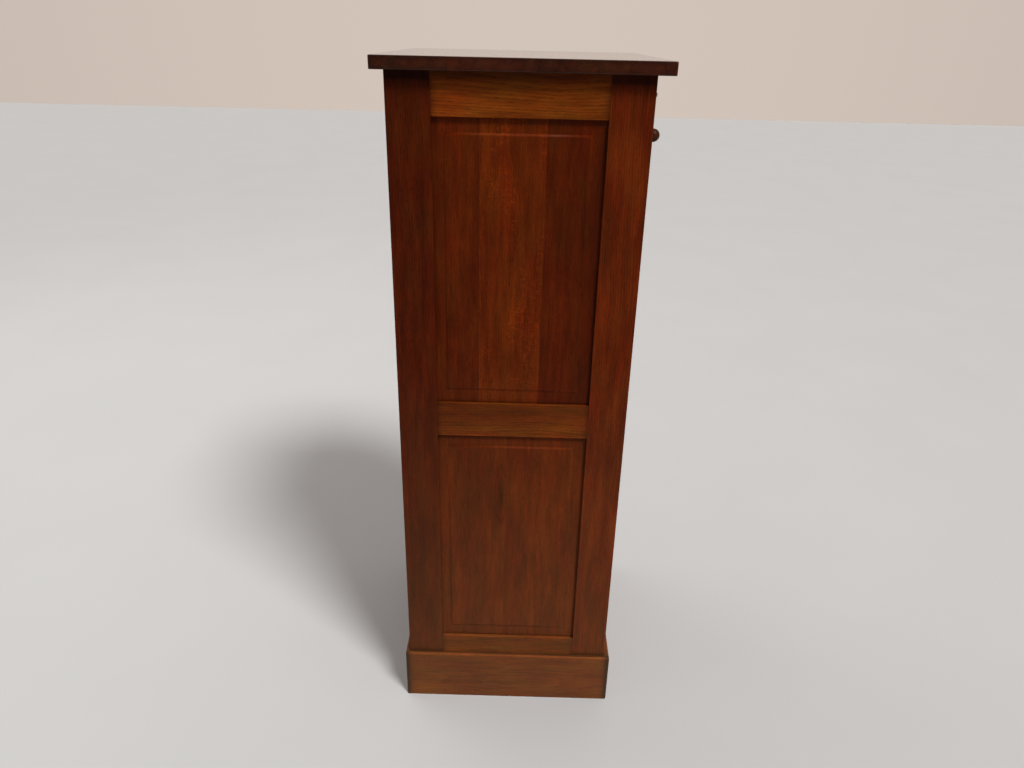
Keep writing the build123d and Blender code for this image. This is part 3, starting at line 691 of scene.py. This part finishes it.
def canvas_cloth():
    """Unbleached linen canvas, plain weave, stiff with old glue."""
    name = "Linen_canvas_woven"
    if name in bpy.data.materials:
        return bpy.data.materials[name]
    scene = bpy.context.scene
    material, tree, output, coordinates = blank_material(name)
    point = coordinates["Object"]
    scale = WAVE_PERIOD / scene.cabinet_sizes.thread_pitch
    threads = [
        add(
            tree,
            "TexWave",
            {"Vector": point, "Scale": scale, **THREAD_UNEVENNESS},
            wave_type="BANDS",
            bands_direction=direction,
        ).outputs["Fac"]
        for direction in "XZ"
    ]
    weave = maths(tree, "MULTIPLY", *threads)
    figure = maths(tree, "MULTIPLY_ADD", weave, WEAVE_SHARE, noise(tree, point, *STAINS))
    colour = ramp(tree, figure, scene.cabinet_colours.canvas, CLOTH_TONES)
    normal = bump(tree, weave, *CLOTH_BUMP)
    surface(tree, output, {"Base Color": colour, "Normal": normal, **CLOTH_FINISH})
    return material


# Scuffs and the roller's grain
SCUFFS = (2.5, 6.0)
SCUFF_TONES = ((0.3, 0.985), (0.7, 1.01))
ROLLER_GRAIN = (300.0, 2.0)
FLOOR_BUMP = (0.1, 0.0003)
FLOOR_ROUGHNESS = 0.62


def floor_paint():
    """Painted concrete, pale and even, with faint grey scuffs."""
    base = bpy.context.scene.cabinet_colours.floor
    material, tree, output, coordinates = blank_material("Painted_concrete_rolled")
    point = coordinates["Object"]
    colour = ramp(tree, noise(tree, point, *SCUFFS), base, SCUFF_TONES)
    normal = bump(tree, noise(tree, point, *ROLLER_GRAIN), *FLOOR_BUMP)
    surface(tree, output, {"Base Color": colour, "Roughness": FLOOR_ROUGHNESS, "Normal": normal})
    return material


def loose_parts(shape):
    """The separate solids of a bmesh, as lists of faces."""
    left = set(shape.faces)
    parts = []
    while left:
        part = [left.pop()]
        for face in part:
            for edge in face.edges:
                beside = left.intersection(edge.link_faces)
                left -= beside
                part += beside
        parts.append(part)
    parts.sort(key=lambda faces: min((round(f.calc_center_median().z, SORT_DIGITS), f.index) for f in faces))
    return parts


def faces_box(faces):
    """The lowest and highest corners of some faces."""
    points = [vertex.co for face in faces for vertex in face.verts]
    low = Vector([min(p[axis] for p in points) for axis in AXIS_NUMBERS])
    high = Vector([max(p[axis] for p in points) for axis in AXIS_NUMBERS])
    return low, high


def on_one_plane(edge, axis, low, high):
    """Whether both ends of an edge lie on the box's low or high plane across one axis."""
    planes = (low[axis], high[axis])
    return any(all(abs(vertex.co[axis] - plane) < TOUCH for vertex in edge.verts) for plane in planes)


def square_edges(faces, low, high):
    """The edges along the corners of a board's box, wherever they run."""
    found = []
    for edge in {edge for face in faces for edge in face.edges}:
        planes = sum(on_one_plane(edge, axis, low, high) for axis in AXIS_NUMBERS)
        if planes >= CORNER_PLANES and edge.calc_face_angle(0) > SQUARE_ANGLE:
            found.append(edge)
    return sorted(found, key=lambda edge: edge.index)


def round_over(shape, edges, radius):
    if edges and radius > 0:
        bmesh.ops.bevel(
            shape,
            geom=edges,
            offset=radius,
            offset_type="OFFSET",
            segments=ROUND_STEPS,
            profile=ROUND_PROFILE,
            affect="EDGES",
            material=-1,
            clamp_overlap=True,
            loop_slide=True,
        )


def merged_copy(node):
    """The CAD node's mesh with its triangles joined into whole faces."""
    shape = bmesh.new()
    shape.from_mesh(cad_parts[node].data)
    bmesh.ops.remove_doubles(shape, verts=shape.verts, dist=WELD)
    bmesh.ops.dissolve_limit(
        shape,
        angle_limit=FLAT_ANGLE,
        verts=shape.verts,
        edges=shape.edges,
    )
    return shape


def cut_at(shape, axis, places):
    """Cuts the faces where one board is glued to the next."""
    normal = Vector([float(other == axis) for other in AXIS_NUMBERS])
    for place in places:
        bmesh.ops.bisect_plane(
            shape,
            geom=shape.verts[:] + shape.edges[:] + shape.faces[:],
            dist=WELD,
            plane_co=normal * place,
            plane_no=normal,
        )


# How a board was sawn: how far the heart of the log lies across it and below it, in metres
SAWN = {
    "flat": ((-0.03, 0.03), (0.03, 0.09)),
    "rift": ((0.05, 0.1), (0.05, 0.1)),
    "quarter": ((0.12, 0.22), (-0.02, 0.02)),
}
LOG_LENGTH = 2.5

# How far the tones of boards of one kind differ
TONE_SPREAD = 0.06


def log_place(draw, sawn, along, low, high):
    """Where in its log a board was cut, as a shift of the pattern."""
    middle = (low + high) / 2
    size = high - low
    grain = "xyz".index(along)
    thin, wide = sorted((axis for axis in AXIS_NUMBERS if axis != grain), key=lambda axis: size[axis])
    across, below = SAWN[sawn]
    shift = -middle
    shift[grain] += draw.uniform(0, LOG_LENGTH)
    shift[wide] += draw.uniform(*across) * draw.choice((-1, 1))
    shift[thin] += draw.uniform(*below) * draw.choice((-1, 1))
    return shift


BOARD_MARKS = ("board_shift", "board_look", "board_edges", "arris_low", "arris_high")


def add_marks(shape):
    """Makes room for the marks. It comes before any face is taken from the bmesh."""
    for name in BOARD_MARKS:
        shape.faces.layers.float_vector.new(name)


def mark_faces(shape, faces, shift, look, edges, box):
    """Writes on the faces what the oak materials read."""
    for name, value in zip(BOARD_MARKS, (shift, look, (*edges, 0.0)[:3], *box)):
        layer = shape.faces.layers.float_vector[name]
        for face in faces:
            face[layer] = value


def new_object(name, data):
    """An object in the scene that shows this data."""
    made = bpy.data.objects.new(name, data)
    bpy.context.scene.collection.objects.link(made)
    return made


def new_mesh(name, shape, material):
    mesh = bpy.data.meshes.new(name)
    shape.to_mesh(mesh)
    shape.free()
    mesh.materials.append(material)
    return mesh


def finish_piece(shape, name, body, material, nodes):
    """Makes the object from its bmesh and hides the CAD nodes that it stands for."""
    mesh = new_mesh(name, shape, material)
    for polygon in mesh.polygons:
        polygon.use_smooth = True
    mesh.set_sharp_from_angle(angle=SMOOTH_ANGLE)
    piece = new_object(name, mesh)
    weighted = piece.modifiers.new("Flat faces stay flat", "WEIGHTED_NORMAL")
    weighted.keep_sharp = True
    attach(piece, body)
    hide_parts(*nodes)
    return piece


def dress(
    node,
    slot,
    along,
    sawn="rift",
    box=None,
    tone=0.0,
    tone_spread=TONE_SPREAD,
    fleck=0.0,
    hue=0.0,
    boards=None,
    radius=None,
    extra_edges=None,
    raised=None,
    edges=None,
    body="carcass",
):
    """Dresses a wooden CAD node: softened arrises, and a grain of its own for each board.

    Boards that are glued edge to edge are given as the axis across their seams, the seams and the looks.
    """
    name = node.replace("_", " ").capitalize().replace(" ", "_")
    draw = random.Random(name)
    wear_and_light = edges or WOODS[slot]["edges"]
    radius = bpy.context.scene.cabinet_sizes.arris if radius is None else radius
    shape = merged_copy(node)
    if boards:
        axis, seams, looks = boards
        cut_at(shape, axis, seams)
    arrises = []
    for faces in loose_parts(shape):
        low, high = box or faces_box(faces)
        arrises += square_edges(faces, low, high)
    round_over(shape, arrises, radius)
    if extra_edges:
        (least_angle, most_angle), least_length, extra_radius = extra_edges
        found = [
            edge
            for edge in shape.edges
            if least_angle < edge.calc_face_angle(0) < most_angle and edge.calc_length() > least_length
        ]
        round_over(shape, found, extra_radius)
    add_marks(shape)
    for faces in loose_parts(shape):
        low, high = box or faces_box(faces)
        if not boards:
            look = (tone + draw.uniform(-tone_spread, tone_spread), fleck, hue)
            mark_faces(shape, faces, log_place(draw, sawn, along, low, high), look, wear_and_light, (low, high))
            continue
        own_low, own_high = faces_box(faces)
        bounds = [own_low[axis] - TOUCH, *seams, own_high[axis] + TOUCH]
        for look, start, end in zip(looks, bounds, bounds[1:]):
            board_low, board_high = low.copy(), high.copy()
            board_low[axis], board_high[axis] = start, end
            shift = log_place(draw, sawn, along, board_low, board_high)
            inside = [f for f in faces if start <= f.calc_center_median()[axis] <= end]
            mark_faces(shape, inside, shift, look, wear_and_light, (low, high))
            if raised:
                field_box, field_x, field_wear_and_highlight = raised
                field = [f for f in inside if abs(f.calc_center_median().x) > field_x]
                mark_faces(shape, field, shift, look, field_wear_and_highlight, field_box)
    return finish_piece(shape, name, body, oak(slot, along), [node])


def side_box(side, y_low, y_high, z_low, z_high):
    """The box of a side frame's board without its tenons."""
    ends = sorted((side * INNER_X, side * OUTER_X))
    return Vector((ends[0], y_low, z_low)), Vector((ends[1], y_high, z_high))


def between_stiles(node):
    """The box of a front or back rail without its tenons."""
    low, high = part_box(node)
    return Vector((-INNER_X, low.y, low.z)), Vector((INNER_X, high.y, high.z))


SIDES = {"left": -1, "right": 1}


class CABINET_OT_stage(bpy.types.Operator):
    """Sets the floor, the light and the camera"""

    bl_idname = "cabinet.stage"
    bl_label = "Stage"

    # The photograph's camera: its place, how many degrees it is turned to the rear, down and to the left
    # round its own axis, and its focal length in pixels of a 1024 wide frame
    camera_place = (-1.3785, 0.0034, 1.2429)
    camera_turns = (0.4005, 24.862, 1.298)
    focal_pixels = 759.1
    frame_width = 1024
    sensor_width = 36

    # Where the far lights stand, and how wide they look
    key_from = (-1.0, -0.87, 1.72)
    key_angle = 16
    sky_from = (-0.35, 0.0, 1.0)
    sky_angle = 80
    warm_white = (1.0, 0.96, 0.91)

    # The broad light stands this far from the cabinet's middle
    fill_from = (1.3, 2.2, 2.3)
    fill_width = 2.4
    soft_white = (1.0, 0.98, 0.95)

    # The pale room from west to east
    room_colours = ((0.0, "#4a4542"), (0.5, "#a39a92"), (1.0, "#e8d8cc"))

    def execute(self, context):
        stage = context.scene.cabinet_stage
        self.add_floor(stage.floor_reach)
        self.add_world(context, stage.world_strength)
        for name, strength, place, angle in (
            ("Key_light", stage.key_strength, self.key_from, self.key_angle),
            ("Skylight", stage.sun_strength, self.sky_from, self.sky_angle),
        ):
            sun = self.add_lamp(name, "SUN", strength, self.warm_white, place)
            sun.data.angle = math.radians(angle)
        fill = self.add_lamp("Fill_light", "AREA", stage.fill_power, self.soft_white, self.fill_from)
        fill.data.shape = "DISK"
        fill.data.size = self.fill_width
        fill.location = (CAD_BOX[0] + CAD_BOX[1]) / 2 + Vector(self.fill_from)
        self.add_camera(context)
        context.scene.view_settings.view_transform = "Standard"
        return {"FINISHED"}

    def add_floor(self, reach):
        shape = bmesh.new()
        bmesh.ops.create_grid(shape, x_segments=1, y_segments=1, size=reach)
        floor = new_object("Floor", new_mesh("Floor", shape, floor_paint()))

    def add_world(self, context, strength):
        world = bpy.data.worlds.new("Pale_room")
        context.scene.world = world
        world.use_nodes = True
        tree = world.node_tree
        tree.nodes.clear()
        output = tree.nodes.new("ShaderNodeOutputWorld")
        direction = add(tree, "TexCoord").outputs["Generated"]
        east = remap(tree, split(tree, direction)["X"], -1.0, 1.0)
        stops = [(place, opaque(linear(colour))) for place, colour in self.room_colours]
        colour = add(tree, "ValToRGB", {"Fac": east}, stops=stops).outputs["Color"]
        sky = add(tree, "Background", {"Color": colour, "Strength": strength})
        tree.links.new(sky.outputs[0], output.inputs["Surface"])

    def add_lamp(self, name, kind, strength, colour, place):
        """A light that shines from this place toward the cabinet's middle."""
        light = bpy.data.lights.new(name, kind)
        light.energy = strength
        light.color = colour
        lamp = new_object(name, light)
        lamp.rotation_euler = Vector(place).to_track_quat("Z", "Y").to_euler()
        return lamp

    def add_camera(self, context):
        yaw, down, roll = (math.radians(angle) for angle in self.camera_turns)
        ahead = Euler((math.pi / 2 - down, 0.0, yaw - math.pi / 2)).to_matrix().to_4x4()
        turned = ahead @ Matrix.Rotation(roll, 4, "Z")
        lens = bpy.data.cameras.new("Camera")
        lens.sensor_width = self.sensor_width
        lens.lens = self.focal_pixels / self.frame_width * self.sensor_width
        camera = new_object("Camera", lens)
        camera.matrix_world = Matrix.Translation(self.camera_place) @ turned
        context.scene.camera = camera


class CABINET_OT_top(bpy.types.Operator):
    """Dresses the top, four boards glued edge to edge"""

    bl_idname = "cabinet.top"
    bl_label = "Top board"

    seams = (-0.143, -0.013, 0.111)
    looks = ((0.1, 0.2, -0.02), (-0.06, 0.5, 0.05), (0.03, 0.1, -0.06), (-0.1, 0.3, 0.0))

    def execute(self, context):
        dress("top_board", "top_oak", "x", "flat", boards=(1, self.seams, self.looks))
        return {"FINISHED"}


class CABINET_OT_side_frames(bpy.types.Operator):
    """Dresses the stiles and rails of both sides"""

    bl_idname = "cabinet.side_frames"
    bl_label = "Side frames"

    # How light each board is, and how brown or red. The rear stile is darker also as painted shade, for the
    # light falling off towards the back
    stile_looks = {"front": (-0.05, 0.02), "rear": (-0.46, -0.03)}
    rail_looks = {"top": (0.17, 0.0), "middle": (0.12, -0.06), "bottom": (-0.18, -0.03)}

    # The top rail isn't rubbed: it sits under the overhang, and painted shade darkens its upper edge for the
    # overhang's shadow
    shaded_under_top = (-0.65, -0.6)
    # The middle rail's upper side is darker than its lower side
    two_toned = (0.22, -0.6, 0.45)
    # How far down the painted shadow under the top board lies full on the top rail and on the stiles
    overhang_shade = 0.007
    stile_grime = 0.011

    def execute(self, context):
        line = context.scene.cabinet_sizes.joint_line
        grime_and_shade = self.overhang_shade
        stiles = ((STILE_FRONT_LOW, STILE_FRONT_HIGH), (STILE_REAR_LOW, STILE_REAR_HIGH))
        rails = (
            (RAIL_TOP_LOW.z - grime_and_shade, RAIL_TOP_HIGH.z - grime_and_shade, self.shaded_under_top),
            (RAIL_MIDDLE_LOW.z, RAIL_MIDDLE_HIGH.z, self.two_toned),
            (PLINTH_TOP, RAIL_BOTTOM_HIGH.z, None),
        )
        for name, side in SIDES.items():
            for (place, (tone, hue)), (low, high) in zip(self.stile_looks.items(), stiles):
                box = side_box(side, low.y, high.y, PLINTH_TOP, high.z - self.stile_grime)
                look = {"box": box, "tone": tone, "hue": hue, "radius": line}
                dress(f"{name}_{place}_stile", "stile_oak", "z", **look)
            for (level, (tone, hue)), (z_low, z_high, edges) in zip(self.rail_looks.items(), rails):
                box = side_box(side, STILE_FRONT_HIGH.y, STILE_REAR_LOW.y, z_low, z_high)
                look = {"box": box, "edges": edges, "tone": tone, "hue": hue, "radius": line}
                dress(f"{name}_{level}_rail", "rail_oak", "y", **look)
        return {"FINISHED"}


class CABINET_OT_side_panels(bpy.types.Operator):
    """Dresses the fielded panels, three boards each"""

    bl_idname = "cabinet.side_panels"
    bl_label = "Side panels"

    field_angles = (math.radians(20), math.radians(85))
    field_rise = 0.0023
    shortest_edge = 0.05
    field_round = 0.001

    # How far in the field lies at the front and the top, at the rear, and below
    border = 0.022
    rear_border = 0.017
    low_border = 0.024

    # How far the field's edges are rubbed light, partly as a painted highlight, and where they aren't. The
    # painted shade along the top is kept thinner
    field_wear_and_highlight = {"upper": (0.6, 1.1), "lower": (0.5, 0.4)}
    unhighlighted_front = 0.006
    thinner_shade_top = 0.006
    seams = {"upper": (-0.0325, 0.0675), "lower": (-0.0415, 0.019)}
    looks = {
        "upper": ((-0.25, 0.3, -0.06), (0.09, 1.0, 0.05), (-0.12, 0.4, 0.02)),
        "lower": ((0.15, 0.25, 0.09), (0.06, 0.2, 0.04), (0.03, 0.1, 0.08)),
    }

    def execute(self, context):
        field_front = STILE_FRONT_HIGH.y + self.border - self.unhighlighted_front
        spans = {
            "upper": (RAIL_MIDDLE_HIGH.z, RAIL_TOP_LOW.z),
            "lower": (RAIL_BOTTOM_HIGH.z, RAIL_MIDDLE_LOW.z),
        }
        for name in SIDES:
            for level, (z_low, z_high) in spans.items():
                node = f"{name}_{level}_panel"
                low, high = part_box(node)
                box = (
                    Vector((low.x, STILE_FRONT_HIGH.y, z_low)),
                    Vector((high.x, STILE_REAR_LOW.y, z_high + self.thinner_shade_top)),
                )
                field_box = (
                    Vector((low.x, field_front, z_low + self.low_border)),
                    Vector((high.x, STILE_REAR_LOW.y - self.rear_border, z_high - self.border)),
                )
                field_x = max(abs(low.x), abs(high.x)) - self.field_rise
                dress(
                    node,
                    "panel_oak",
                    "z",
                    "quarter",
                    box=box,
                    raised=(field_box, field_x, self.field_wear_and_highlight[level]),
                    boards=(1, self.seams[level], self.looks[level]),
                    extra_edges=(self.field_angles, self.shortest_edge, self.field_round),
                )
        return {"FINISHED"}


class CABINET_OT_plinth(bpy.types.Operator):
    """Dresses the four mitred plinth boards"""

    bl_idname = "cabinet.plinth"
    bl_label = "Plinth"

    # The corners are darker. The edges on the floor and against the frame get neither rubbed light nor a
    # painted highlight
    dark_corner = 0.004
    no_rub_or_highlight = 0.03
    tone = 0.04
    hue = -0.02

    def execute(self, context):
        for name, along in (("front", "x"), ("right", "y"), ("back", "x"), ("left", "y")):
            node = f"plinth_{name}"
            low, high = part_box(node)
            corner = Vector([self.dark_corner * (axis == along) for axis in "xyz"])
            low, high = low + corner, high - corner
            low.z -= self.no_rub_or_highlight
            across = 1 if along == "x" else 0
            if high[across] > 0:
                low[across] -= self.no_rub_or_highlight
            else:
                high[across] += self.no_rub_or_highlight
            dress(node, "plinth_oak", along, "flat", box=(low, high), tone=self.tone, hue=self.hue)
        return {"FINISHED"}


class CABINET_OT_back(bpy.types.Operator):
    """Dresses the framed back"""

    bl_idname = "cabinet.back"
    bl_label = "Back"

    rail_tone = -0.3
    seams = (-0.118, 0.007, 0.124)
    looks = ((-0.1, 0.1, -0.05), (0.02, 0.1, 0.01), (-0.05, 0.1, -0.025), (0.06, 0.1, 0.03))

    def execute(self, context):
        line = context.scene.cabinet_sizes.joint_line
        for level in ("top", "middle", "bottom"):
            node = f"back_{level}_rail"
            box = between_stiles(node)
            dress(node, "rail_oak", "x", box=box, tone=self.rail_tone, radius=line)
        for level in ("upper", "lower"):
            node = f"back_{level}_panel"
            dress(node, "panel_oak", "z", "flat", boards=(0, self.seams, self.looks))
        return {"FINISHED"}


class CABINET_OT_front(bpy.types.Operator):
    """Dresses the front rail that carries the lock, and the sill"""

    bl_idname = "cabinet.front"
    bl_label = "Front rail and sill"

    tones = {"front_top_rail": 0.0, "front_sill": -0.1}

    def execute(self, context):
        line = context.scene.cabinet_sizes.joint_line
        for node, tone in self.tones.items():
            dress(node, "rail_oak", "x", box=between_stiles(node), tone=tone, radius=line)
        return {"FINISHED"}


class CABINET_OT_tambour(bpy.types.Operator):
    """Dresses the slats and the lead rail, and lays the canvas behind them"""

    bl_idname = "cabinet.tambour"
    bl_label = "Tambour"

    slat_angles = (math.radians(40), math.radians(75))
    shortest_edge = 0.1
    slat_radius = 0.0005
    slat_tones = 0.14
    slat_fleck = 0.15
    lead_tone = 0.02

    # A grid of this half size is one metre wide before it's scaled
    unit_grid = 0.5
    canvas_squares = (34, 98)
    canvas_dent = 0.00012
    glue_film = 0.00005

    def execute(self, context):
        slats = dress(
            "tambour_slats",
            "slat_oak",
            "x",
            tone_spread=self.slat_tones,
            fleck=self.slat_fleck,
            extra_edges=(self.slat_angles, self.shortest_edge, self.slat_radius),
        )
        dress("lead_rail", "slat_oak", "x", tone=self.lead_tone, body="tambour")
        canvas = self.lay_canvas()
        for piece, high in ((slats, SLATS_HIGH.z), (canvas, CANVAS_HIGH.z)):
            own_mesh(piece)
        return {"FINISHED"}

    def lay_canvas(self):
        """A thin closed sheet that sinks a little between the slats."""
        size = CANVAS_HIGH - CANVAS_LOW
        shape = bmesh.new()
        across, upward = self.canvas_squares
        bmesh.ops.create_grid(shape, x_segments=across, y_segments=upward, size=self.unit_grid)
        bmesh.ops.scale(shape, vec=(size.x, size.z, 1.0), verts=shape.verts)
        upright = Matrix.Rotation(math.pi / 2, 3, "X")
        bmesh.ops.rotate(shape, cent=(0, 0, 0), matrix=upright, verts=shape.verts)
        middle = (CANVAS_LOW + CANVAS_HIGH) / 2
        bmesh.ops.translate(shape, vec=(middle.x, CANVAS_HIGH.y, middle.z), verts=shape.verts)
        draw = random.Random("canvas")
        for vertex in shape.verts:
            vertex.co.y -= self.canvas_dent * draw.random()
        walls = bmesh.ops.extrude_face_region(shape, geom=shape.faces[:])["geom"]
        back = [item for item in walls if isinstance(item, bmesh.types.BMVert)]
        for vertex in back:
            vertex.co.y = CANVAS_LOW.y + self.glue_film
        bmesh.ops.recalc_face_normals(shape, faces=shape.faces)
        cloth = canvas_cloth()
        canvas = finish_piece(shape, "Tambour_canvas", "carcass", cloth, ["tambour_canvas"])
        return canvas


class CABINET_OT_knobs(bpy.types.Operator):
    """Turns the two knobs"""

    bl_idname = "cabinet.knobs"
    bl_label = "Knobs"

    steps = 48
    ball_steps = 20
    ball_sweep = math.radians(146)
    neck_radius = 0.0048
    foot_radius = 0.007
    foot_length = 0.003
    bead_radius = 0.0011
    tone_spread = 0.05

    def execute(self, context):
        for node in ("left_knob", "right_knob"):
            self.turn(node)
        return {"FINISHED"}

    def turn(self, node):
        low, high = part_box(node)
        middle = (low + high) / 2
        radius = (high.z - low.z) / 2
        ball_y = low.y + radius
        profile = []
        for step in range(self.ball_steps + 1):
            angle = self.ball_sweep * step / self.ball_steps
            profile.append((radius * math.sin(angle), ball_y - radius * math.cos(angle)))
        foot_y = high.y - self.foot_length
        profile += [
            (self.neck_radius, profile[-1][1] + self.bead_radius),
            (self.neck_radius + self.bead_radius / 2, foot_y - self.bead_radius),
            (self.foot_radius - self.bead_radius, foot_y),
            (self.foot_radius, foot_y + self.bead_radius),
            (self.foot_radius, high.y),
            (0.0, high.y),
        ]
        shape = bmesh.new()
        points = [shape.verts.new((middle.x + r, y, middle.z)) for r, y in profile]
        for start, end in zip(points, points[1:]):
            shape.edges.new((start, end))
        bmesh.ops.spin(
            shape,
            geom=shape.verts[:] + shape.edges[:],
            cent=(middle.x, 0, middle.z),
            axis=(0, 1, 0),
            dvec=(0, 0, 0),
            angle=math.tau,
            steps=self.steps,
            use_merge=True,
            use_duplicate=False,
        )
        bmesh.ops.remove_doubles(shape, verts=shape.verts, dist=WELD)
        bmesh.ops.recalc_face_normals(shape, faces=shape.faces)
        add_marks(shape)
        draw = random.Random(node)
        shift = log_place(draw, "flat", "y", low, high)
        look = (draw.uniform(-self.tone_spread, self.tone_spread), 0.0, 0.0)
        mark_faces(shape, shape.faces, shift, look, WOODS["knob_oak"]["edges"], (low, high))
        finish_piece(shape, node.capitalize(), "tambour", oak("knob_oak", "y"), [node])


class CABINET_OT_inside(bpy.types.Operator):
    """Dresses what shows when the tambour is down, and the blocks underneath"""

    bl_idname = "cabinet.inside"
    bl_label = "Inside"

    plain = {
        "base_board": "x",
        "base_cleats": "y",
        "corner_blocks": "z",
        "top_glue_blocks": "y",
        "left_shelf_cleats": "y",
        "right_shelf_cleats": "y",
    }
    plain_tone = -0.05
    shelf_tones = 0.08
    shelf_fleck = 0.2
    seams = (-0.07, 0.075)
    looks = ((0.0, 0.2, 0.0), (-0.08, 0.2, 0.0), (0.05, 0.2, 0.0))

    def execute(self, context):
        for node in sorted(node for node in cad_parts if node.startswith("shelf_")):
            look = {"tone_spread": self.shelf_tones, "fleck": self.shelf_fleck}
            dress(node, "inside_oak", "x", "flat", **look)
        for node, along in self.plain.items():
            dress(node, "inside_oak", along, tone=self.plain_tone)
        dress("false_back", "inside_oak", "z", "flat", boards=(0, self.seams, self.looks))
        return {"FINISHED"}


class CABINET_OT_metal(bpy.types.Operator):
    """Gives the lock, key and screws their brass and steel"""

    bl_idname = "cabinet.metal"
    bl_label = "Lock, key and screws"

    # Slot, real name, roughness, and how light it is
    finishes = {
        "brass": ("brass", "Brass_tarnished", 0.32, 1.0),
        "steel": ("steel", "Steel_dulled", 0.38, 1.0),
        "handled": ("brass", "Brass_browned_by_hands", 0.36, 0.55),
    }

    # Pieces that only get their metal
    plain = {
        "escutcheon_pins": "brass",
        "lock_case": "steel",
        "lock_screws": "steel",
        "hook_pivot_pin": "steel",
        "drill_pin": "steel",
        "strike_screws": "steel",
        "knob_screws": "steel",
        "cleat_screws": "steel",
    }

    # Pieces with filed edges, how far the file took them off, and the body each rides
    filed = {
        "key": ("handled", 0.0004, "key"),
        "hook_bolt": ("steel", 0.0003, "hook"),
        "lock_plate": ("brass", 0.0002, "carcass"),
        "escutcheon": ("brass", 0.0003, "carcass"),
        "strike_plate": ("brass", 0.0002, "tambour"),
    }

    def execute(self, context):
        made = {name: metal(*finish) for name, finish in self.finishes.items()}
        for node, finish in self.plain.items():
            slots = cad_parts[node].data.materials
            slots.clear()
            slots.append(made[finish])
        for node, (finish, radius, body) in self.filed.items():
            shape = merged_copy(node)
            sharp = [edge for edge in shape.edges if edge.calc_face_angle(0) > SQUARE_ANGLE]
            round_over(shape, sharp, radius)
            finish_piece(shape, node.capitalize(), body, made[finish], [node])
        return {"FINISHED"}


class CABINET_PT_panel(bpy.types.Panel):
    """The cabinet's pieces and settings"""

    bl_idname = "CABINET_PT_panel"
    bl_label = "Tambour filing cabinet"
    bl_space_type = "VIEW_3D"
    bl_region_type = "UI"
    bl_category = "Cabinet"

    def draw(self, context):
        for operator in OPERATORS:
            self.layout.operator(operator.bl_idname)
        for group in (
            context.scene.cabinet_sizes,
            context.scene.cabinet_colours,
            context.scene.cabinet_stage,
        ):
            column = self.layout.box().column()
            for name in group.__annotations__:
                column.prop(group, name)


OPERATORS = (
    CABINET_OT_stage,
    CABINET_OT_top,
    CABINET_OT_side_frames,
    CABINET_OT_side_panels,
    CABINET_OT_plinth,
    CABINET_OT_back,
    CABINET_OT_front,
    CABINET_OT_tambour,
    CABINET_OT_knobs,
    CABINET_OT_inside,
    CABINET_OT_metal,
)
CLASSES = (CabinetSizes, CabinetColours, CabinetStage, *OPERATORS, CABINET_PT_panel)


def register():
    for kind in CLASSES:
        bpy.utils.register_class(kind)
    bpy.types.Scene.cabinet_sizes = bpy.props.PointerProperty(type=CabinetSizes)
    bpy.types.Scene.cabinet_colours = bpy.props.PointerProperty(type=CabinetColours)
    bpy.types.Scene.cabinet_stage = bpy.props.PointerProperty(type=CabinetStage)


def unregister():
    del bpy.types.Scene.cabinet_stage
    del bpy.types.Scene.cabinet_colours
    del bpy.types.Scene.cabinet_sizes
    for kind in reversed(CLASSES):
        bpy.utils.unregister_class(kind)


def main():
    register()
    bpy.ops.cabinet.stage()
    bpy.ops.cabinet.top()
    bpy.ops.cabinet.side_frames()
    bpy.ops.cabinet.side_panels()
    bpy.ops.cabinet.plinth()
    bpy.ops.cabinet.back()
    bpy.ops.cabinet.front()
    bpy.ops.cabinet.tambour()
    bpy.ops.cabinet.knobs()
    bpy.ops.cabinet.inside()
    bpy.ops.cabinet.metal()


if __name__ == "__main__":
    main()
